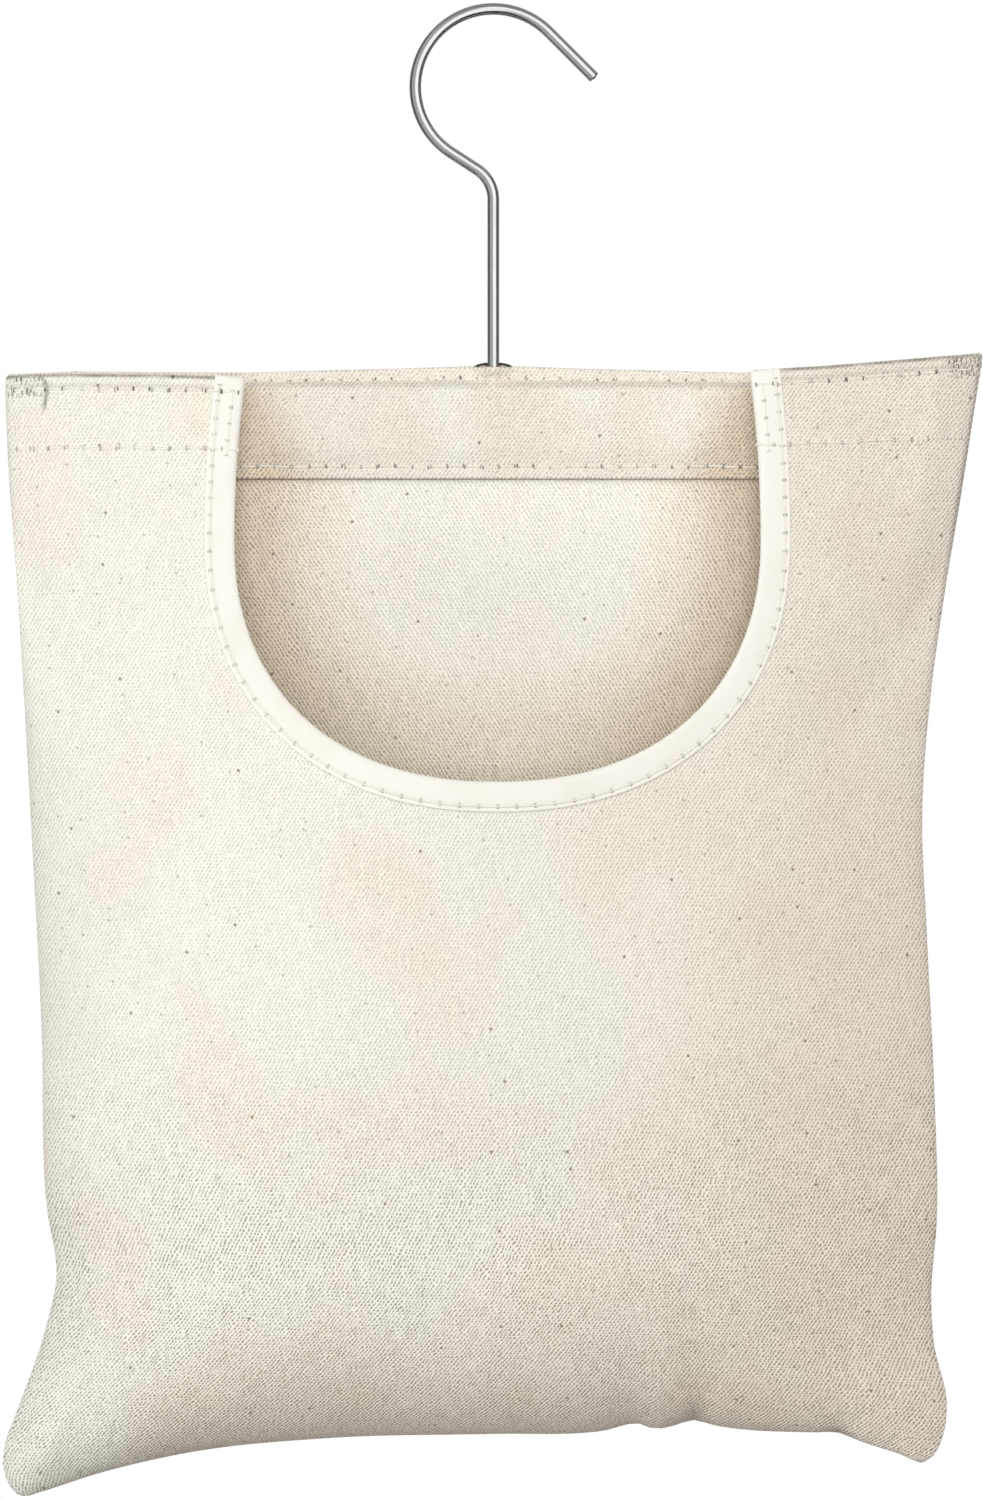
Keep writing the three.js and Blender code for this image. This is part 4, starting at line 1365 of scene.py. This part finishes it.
class Graph:
    """A tree of nodes that grows by expressions."""

    def __init__(self, tree):
        self.tree = tree

    def set_inputs(self, node, inputs):
        """Links or sets a node's sockets, which are named with _ for a space, or numbered."""
        for key, value in inputs.items():
            socket = node.inputs[key.replace("_", " ") if isinstance(key, str) else key]
            if isinstance(value, Value):
                self.tree.links.new(value.socket, socket)
            else:
                socket.default_value = value

    def node(self, kind, settings=None, inputs=None, output=0):
        """A new node of a type with its settings and inputs, as the value of one of its outputs."""
        node = self.tree.nodes.new("ShaderNode" + kind)
        for key, setting in (settings or {}).items():
            setattr(node, key, setting)
        self.set_inputs(node, inputs or {})
        return Value(self, node.outputs[output])


print("classes", Value.__name__, "and", Graph.__name__, "for expressions on nodes")

# %% [markdown]
# A finish is a material with one Principled shader. It adds short names for what cloth, wire and
# wood need again and again: where a point lies, what was painted on it, soft ramps, colour mixes and
# noise. What changes over the surface goes into the colour, the roughness and a bump only.

# %% Finishes
class Finish(Graph):
    """A material with one Principled shader, whose inputs are expressions on nodes."""

    def __init__(self, name, **constants):
        self.material = bpy.data.materials.new(name)
        self.material.use_nodes = True
        super().__init__(self.material.node_tree)
        self.shader = self.tree.nodes["Principled BSDF"]
        self.set_inputs(self.shader, constants)

    def flat_place(self):
        """Where a point lay on the flat cloth, or along and round the wire."""
        return self.node("UVMap", {"uv_map": FLAT_MAP})

    def solid_place(self):
        """Where a point lies in the object's own space."""
        return self.node("TexCoord", output="Object")

    def part(self, vector, axis):
        """One coordinate of a place: X or Y."""
        return self.node("SeparateXYZ", None, {0: vector}, axis)

    def painted(self, name):
        """A number that was painted on the points."""
        return self.node("Attribute", {"attribute_name": name}, None, "Fac")

    def ramp(self, value, low, high, to_low=0.0, to_high=1.0):
        """The soft ramp of a value from low to high, between two results."""
        limits = {"Value": value, "From Min": low, "From Max": high, "To Min": to_low, "To Max": to_high}
        return self.node("MapRange", {"interpolation_type": "SMOOTHSTEP"}, limits)

    def mix(self, factor, first, second):
        """A mix of two colours."""
        return self.node("Mix", {"data_type": "RGBA"}, {0: factor, 6: first, 7: second}, 2)

    def noise(self, vector, scale, detail, dimensions="2D"):
        """Smooth noise about a half, with so many patches per metre."""
        values = {"Vector": vector, "Scale": scale, "Detail": detail}
        return self.node("TexNoise", {"noise_dimensions": dimensions}, values)

    def stretch(self, vector, scale):
        """A place with each coordinate times its own scale."""
        return self.node("Mapping", None, {"Vector": vector, "Scale": scale})

    def done(self, height, strength, distance, **inputs):
        """The material, with its varying inputs linked and a height as a bump into Normal."""
        relief = {"Height": height, "Strength": strength, "Distance": distance}
        self.set_inputs(self.shader, {**inputs, "Normal": self.node("Bump", None, relief)})
        return self.material


print("class", Finish.__name__, "made, materials so far", len(bpy.data.materials))

# %% [markdown]
# Unbleached cotton drill has diagonal wales about a millimetre apart, made of uneven yarns. The
# pattern reads the cloth's flat coordinates, so it follows the folds, and the turned hem shows the
# right side while the inside shows the wrong one with its wales the other way. A photographed weave
# would do for one view, but it would show its tiles and its own light.

# %% The weave
WALE = 1.23 * MM
WALE_SLOPE = np.radians(55)
WANDER_SCALE = 210
WALE_WANDER = 1.2
CROSS_WANDER = 2.5
YARN_THIN = 1700
YARN_LONG = 130
WALE_PART, CROSS_PART, UP_PART, ACROSS_PART = 0.6, 0.3, 0.6, 0.5


def twill_height(g, flat):
    """Height of the weave.

    Wales are a sine across one diagonal that slow noise bends, broken by a weaker sine across the
    other, and both sets of yarns add noise that is drawn out along them.
    """
    along = g.part(flat, "X") * np.sin(WALE_SLOPE)
    up = g.part(flat, "Y") * np.cos(WALE_SLOPE)
    wander = g.noise(flat, WANDER_SCALE, 3)
    wale = ((along - up) / WALE + wander * WALE_WANDER).sine() * 0.5 + 0.5
    cross = ((along + up) / WALE + wander * CROSS_WANDER).sine() * 0.5 + 0.5
    yarn_up = g.noise(g.stretch(flat, (YARN_THIN, YARN_LONG, 1)), 1, 2)
    yarn_across = g.noise(g.stretch(flat, (YARN_LONG, YARN_THIN, 1)), 1, 2)
    return wale * WALE_PART + cross * CROSS_PART + yarn_up * UP_PART + yarn_across * ACROSS_PART


print("wales", round(WALE / MM, 2), "mm apart")

# %% [markdown]
# The colour drifts at random from cream to a pinkish beige, and where tan was painted as shade it goes on to
# a golden tan. The grooves of the weave are darker, as painted shade, most of all low on the bag, where the
# light grazes it, and under the painted tan; dark flecks of seed that the mill did not comb out lie all over.
# Inside, the same cloth is painted a little paler, as painted light for the shaded inside of the bag, and
# less blotched, so it has a finish of its own.

# %% Cotton twill
CREAM = (0.905, 0.895, 0.82, 1)
BEIGE = (0.845, 0.772, 0.687, 1)
# The inside's cream and beige are painted paler than the outside's, as painted light for the shaded inside of
# the bag, and the rim's golden tan is painted shade.
INSIDE_LIT_CREAM = (0.97, 0.955, 0.875, 1)
INSIDE_LIT_BEIGE = (0.94, 0.86, 0.765, 1)
RIM_SHADE = (0.76, 0.648, 0.504, 1)
# The grooves' colour is painted shade.
GROOVE_SHADE = (0.345, 0.316, 0.253, 1)
FLECK = (0.24, 0.20, 0.155, 1)
SHADE_DARK = (0.02, 0.018, 0.015, 1)
FLECKS = [(22, 0.022, 0.38, 0.85), (9, 0.045, 0.3, 0.5)]
FLECK_RIM, FLECK_CORE = 1.5, 0.7
DRIFT_PATCHES, DRIFT_LEVELS = 17, (0.4, 0.7)
UNEVEN_PATCHES, UNEVEN_LEVELS, UNEVEN_BY = 40, (0.3, 0.7), (0.9, 1.1)
GROOVE_LEVELS = (1.06, 0.5)
GRAZED, GRAZED_DEPTH = (-0.2, -0.3), (0.46, 1.0)
TAN_GROOVE = 0.3
SHADE_SHARE = 0.95
WEAVE_BUMP = (0.9, 0.0003)


def seed_flecks(g, flat, cloth):
    """The cloth's colour with round spots at the middles of scattered cells, of which a share is shown."""
    for cell, size, shown, strength in FLECKS:
        spot = {"Vector": flat, "Scale": 1 / (cell * MM), "Randomness": 1.0}
        near = g.node("TexVoronoi", {"voronoi_dimensions": "2D"}, spot, "Distance")
        chance = g.node("TexVoronoi", {"voronoi_dimensions": "2D"}, spot, "Color")
        chosen = g.ramp(g.node("SeparateColor", None, {0: chance}), shown, shown - 0.02)
        spots = g.ramp(near, size * FLECK_RIM, size * FLECK_CORE) * chosen * strength
        cloth = g.mix(spots, cloth, FLECK)
    return cloth


def cotton_twill(name, tan_name, cream, beige, blotched):
    """Cream, beige and tan mixed by slow noise and paint, then the grooves, the flecks and the dark lines.
    The tan, the grooves' darkness and the dark lines are painted shade.
    """
    g = Finish(name, Roughness=0.92, Sheen_Weight=0.06, Specular_IOR_Level=0.15)
    flat = g.flat_place()
    height = twill_height(g, flat)
    tan = g.painted(tan_name)
    drift = g.ramp(g.noise(flat, DRIFT_PATCHES, 3), *DRIFT_LEVELS)
    cloth = g.mix(tan - 1, g.mix(drift * blotched + tan, cream, beige), RIM_SHADE)
    uneven = g.ramp(g.noise(flat, UNEVEN_PATCHES, 2), *UNEVEN_LEVELS, *UNEVEN_BY)
    low_down = g.ramp(g.part(flat, "Y"), *GRAZED, *GRAZED_DEPTH)
    groove = g.ramp(height, *GROOVE_LEVELS) * (low_down * uneven + tan * TAN_GROOVE)
    cloth = seed_flecks(g, flat, g.mix(groove, cloth, GROOVE_SHADE))
    cloth = g.mix(g.painted("shade") * SHADE_SHARE, cloth, SHADE_DARK)
    return g.done(height, *WEAVE_BUMP, Base_Color=cloth)


twill = cotton_twill("cotton_twill", "tan", CREAM, BEIGE, 0.35)
inside_twill = cotton_twill("cotton_twill_inside", "inside_shade_tan", INSIDE_LIT_CREAM, INSIDE_LIT_BEIGE, 0.15)
front_panel.data.materials.append(twill)
back_panel.data.materials.append(twill)
back_panel.data.materials.append(inside_twill)
print("twill", len(twill.node_tree.nodes), "nodes")

# %% [markdown]
# The tape is a finer, whiter plain weave, cut on the bias, so its threads cross at an angle. The thread is
# twisted cotton, painted dark where it dives into a needle hole, as the hole's shade. Both are small in the
# picture, so a few nodes each are enough.

# %% Tape and thread
TAPE_WHITE = (0.88, 0.87, 0.825, 1)
TAPE_SHADE = (0.815, 0.786, 0.722, 1)
TAPE_PITCH = 0.5 * MM
THREAD_CREAM = (0.86, 0.837, 0.768, 1)
# The needle holes' colour is painted shade.
HOLE_SHADE = (0.12, 0.10, 0.08, 1)
TWIST_SCALE = 2600


def bias_tape():
    """Two crossed sines at 45 degrees for the weave, and slow noise for handling."""
    g = Finish("bias_tape", Roughness=0.9, Sheen_Weight=0.05, Specular_IOR_Level=0.15)
    flat = g.flat_place()
    along = g.part(flat, "X") / TAPE_PITCH
    across = g.part(flat, "Y") / TAPE_PITCH
    weave = (along + across).sine() * (along - across).sine() * 0.5 + 0.5
    worn = g.ramp(g.noise(flat, 60, 3), 0.45, 0.75)
    colour = g.mix(worn * 0.35 + (1 - weave) * 0.12, TAPE_WHITE, TAPE_SHADE)
    return g.done(weave, 0.2, 0.0002, Base_Color=colour)


def sewing_thread():
    """Cream thread with a fine twist, darkened as painted shade by the needle-hole value of its points."""
    g = Finish("cotton_thread", Roughness=0.8, Specular_IOR_Level=0.2)
    twist = g.noise(g.solid_place(), TWIST_SCALE, 1, "3D")
    return g.done(twist, 0.3, 0.0002, Base_Color=g.mix(g.painted("hole"), THREAD_CREAM, HOLE_SHADE))


tape.data.materials.append(bias_tape())
thread = sewing_thread()
for row in back_rows + front_rows:
    row.data.materials.append(thread)
print("tape and", thread.name, "on", len(back_rows + front_rows), "rows")

# %% [markdown]
# Bright drawn wire mirrors its surroundings in long stripes, which fine die lines along the wire
# blur a little. The bar is plain beech and only shows through the slit, but its grain runs along
# it, as on a sawn batten. The bar and the washer keep their solids and only change their finish.

# %% Steel and beech
STEEL = (0.94, 0.945, 0.95, 1)
STEEL_DULL = (0.8, 0.805, 0.81, 1)
BEECH = (0.56, 0.37, 0.21, 1)
BEECH_DARK = (0.40, 0.24, 0.125, 1)
DIE_LINES = (25, 3500, 1)
GRAIN = (14, 320, 320)
RAYS = (260, 1500, 1500)
STEEL_ROUGH = (0.13, 0.22)


def drawn_steel(place_of):
    """Steel with streaks that are long in the first direction of the coordinates given."""
    g = Finish("drawn_steel", Metallic=1.0)
    place = place_of(g)
    streak = g.noise(g.stretch(place, DIE_LINES), 1, 2, "3D")
    dull = g.ramp(g.noise(place, 90, 2, "3D"), 0.35, 0.75)
    colour = g.mix(dull * 0.5, STEEL, STEEL_DULL)
    roughness = g.ramp(streak, 0.3, 0.7, *STEEL_ROUGH)
    return g.done(streak, 0.05, 0.0001, Base_Color=colour, Roughness=roughness)


def beech_wood():
    """Grain as noise stretched along the bar, with short darker rays."""
    g = Finish("beech_wood", Roughness=0.6)
    place = g.solid_place()
    grain = g.noise(g.stretch(place, GRAIN), 1, 4, "3D")
    rays = g.ramp(g.noise(g.stretch(place, RAYS), 1, 1, "3D"), 0.62, 0.72)
    colour = g.mix(rays * 0.5, g.mix(grain, BEECH, BEECH_DARK), BEECH_DARK)
    return g.done(grain + rays * 0.3, 0.15, 0.0003, Base_Color=colour)


def dress(node, finish):
    """Gives a CAD node that keeps its solid a finish in place of its own."""
    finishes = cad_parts[node].data.materials
    finishes.clear()
    finishes.append(finish)


hook.data.materials.append(drawn_steel(Finish.flat_place))
dress("hook_washer", drawn_steel(Finish.solid_place))
dress("hanger_bar", beech_wood())
print("finishes", len(bpy.data.materials))

# %% [markdown]
# A plain white studio. Four lamps light the cloth: a low one at the left that grazes the weave, a
# small one close to the camera that reaches into the bag, a weak high one, and one behind for the
# bag's back. An even, slightly warm sky fills the shadows. The background is white for the camera
# and for mirrors only, so it adds no light to the cloth.

# %% Lamps and sky
AIM = (0, 0, -0.3)
LAMPS = [
    ("side", (-2.0, -0.4, -0.8), (1.0, 1.0), 16.7, (0.93, 0.98, 1.0)),
    ("front", (0.0, -1.7, -0.1), (0.9, 0.7), 17.1, (1.0, 1.0, 0.99)),
    ("high", (0.3, -1.2, 0.8), (0.9, 0.9), 5.8, (1.0, 0.99, 0.97)),
    ("back", (0.9, 1.5, 0.4), (1.2, 1.2), 23, (1.0, 1.0, 0.99)),
]
SKY = {"Color": (1.0, 0.93, 0.86, 1), "Strength": 0.355}
WHITE = {"Color": (1, 1, 1, 1), "Strength": 1.0}


def lamp(name, place, size, power, colour):
    """A soft lamp that faces the middle of the bag, and that no mirror shows.

    Its tilt is the angle whose tangent is rise over reach, and its turn the same in plan.
    """
    light = bpy.data.lights.new(name, "AREA")
    light.shape = "RECTANGLE"
    light.size, light.size_y = size
    light.energy = power
    light.color = colour
    holder = bpy.data.objects.new(name, light)
    holder.location = place
    holder.visible_glossy = False
    aim = np.array(AIM) - np.array(place)
    tilt = np.arctan2(aim[2], np.hypot(aim[0], aim[1]))
    holder.rotation_euler = (np.pi / 2 + tilt, 0, np.arctan2(aim[1], aim[0]) - np.pi / 2)
    bpy.context.scene.collection.objects.link(holder)


def white_world():
    """Even sky light, but plain white where the camera, a mirror or glass looks straight at it."""
    world = bpy.data.worlds.new("studio")
    bpy.context.scene.world = world
    world.use_nodes = True
    g = Graph(world.node_tree)
    sky = g.tree.nodes["Background"]
    g.set_inputs(sky, SKY)
    camera_ray = g.node("LightPath", output="Is Camera Ray")
    mirror_ray = g.node("LightPath", output="Is Glossy Ray")
    glass_ray = g.node("LightPath", output="Is Transmission Ray")
    seen = camera_ray.or_more(mirror_ray).or_more(glass_ray)
    backgrounds = {0: seen, 1: Value(g, sky.outputs[0]), 2: g.node("Background", None, WHITE)}
    g.set_inputs(g.tree.nodes["World Output"], {"Surface": g.node("MixShader", None, backgrounds)})


white_world()
for settings in LAMPS:
    lamp(*settings)
bpy.context.scene.view_settings.view_transform = "Standard"
print("studio set with", len(bpy.data.lights), "lamps")

# %% [markdown]
# A mirror needs something to mirror. A box of grey cards stands round the wire. It is open from just
# left of the camera to well right of it, so the wire shows one white stripe from the opening, right
# of its middle, between grey and dark ones from the walls. Only mirrors see the cards, and they are
# stage pieces, not parts of the bag.

# %% Cards for the wire
CARD_HEIGHT = 1.2
CARD_PLAN = [(-0.12, -1.4), (-1.2, -0.5), (-1.2, 1.2), (1.2, 1.2), (2.0, -1.4)]
CARD_GREYS = {"card_left": 0.37, "card_side": 0.1, "card_behind": 0.6, "card_right": 0.1}
OVER_GREY = 0.22
UNDER_GREY = 0.03
UNSEEN_BY = ("visible_camera", "visible_diffuse", "visible_shadow", "visible_transmission")


def mirror_card(name, corners, grey):
    """A flat stage piece that shines in one grey and that only mirrors see."""
    mesh = bpy.data.meshes.new(name)
    mesh.from_pydata(corners, [], [tuple(range(len(corners)))])
    card = bpy.data.objects.new(name, mesh)
    bpy.context.scene.collection.objects.link(card)
    shine = {"Emission_Color": (grey, grey, grey, 1), "Emission_Strength": 1.0}
    finish = Finish(name, Base_Color=(0, 0, 0, 1), Specular_IOR_Level=0.0, **shine)
    mesh.materials.append(finish.material)
    for ray in UNSEEN_BY:
        setattr(card, ray, False)


def at_level(places, level):
    """Places of the plan at one height."""
    return [(*place, level) for place in places]


for (name, grey), *ends in zip(CARD_GREYS.items(), CARD_PLAN, CARD_PLAN[1:]):
    mirror_card(name, at_level(ends, -CARD_HEIGHT) + at_level(ends[::-1], CARD_HEIGHT), grey)
mirror_card("card_over", at_level(CARD_PLAN, CARD_HEIGHT), OVER_GREY)
mirror_card("card_under", at_level(CARD_PLAN, -CARD_HEIGHT), UNDER_GREY)
print("cards", len(CARD_GREYS) + 2)
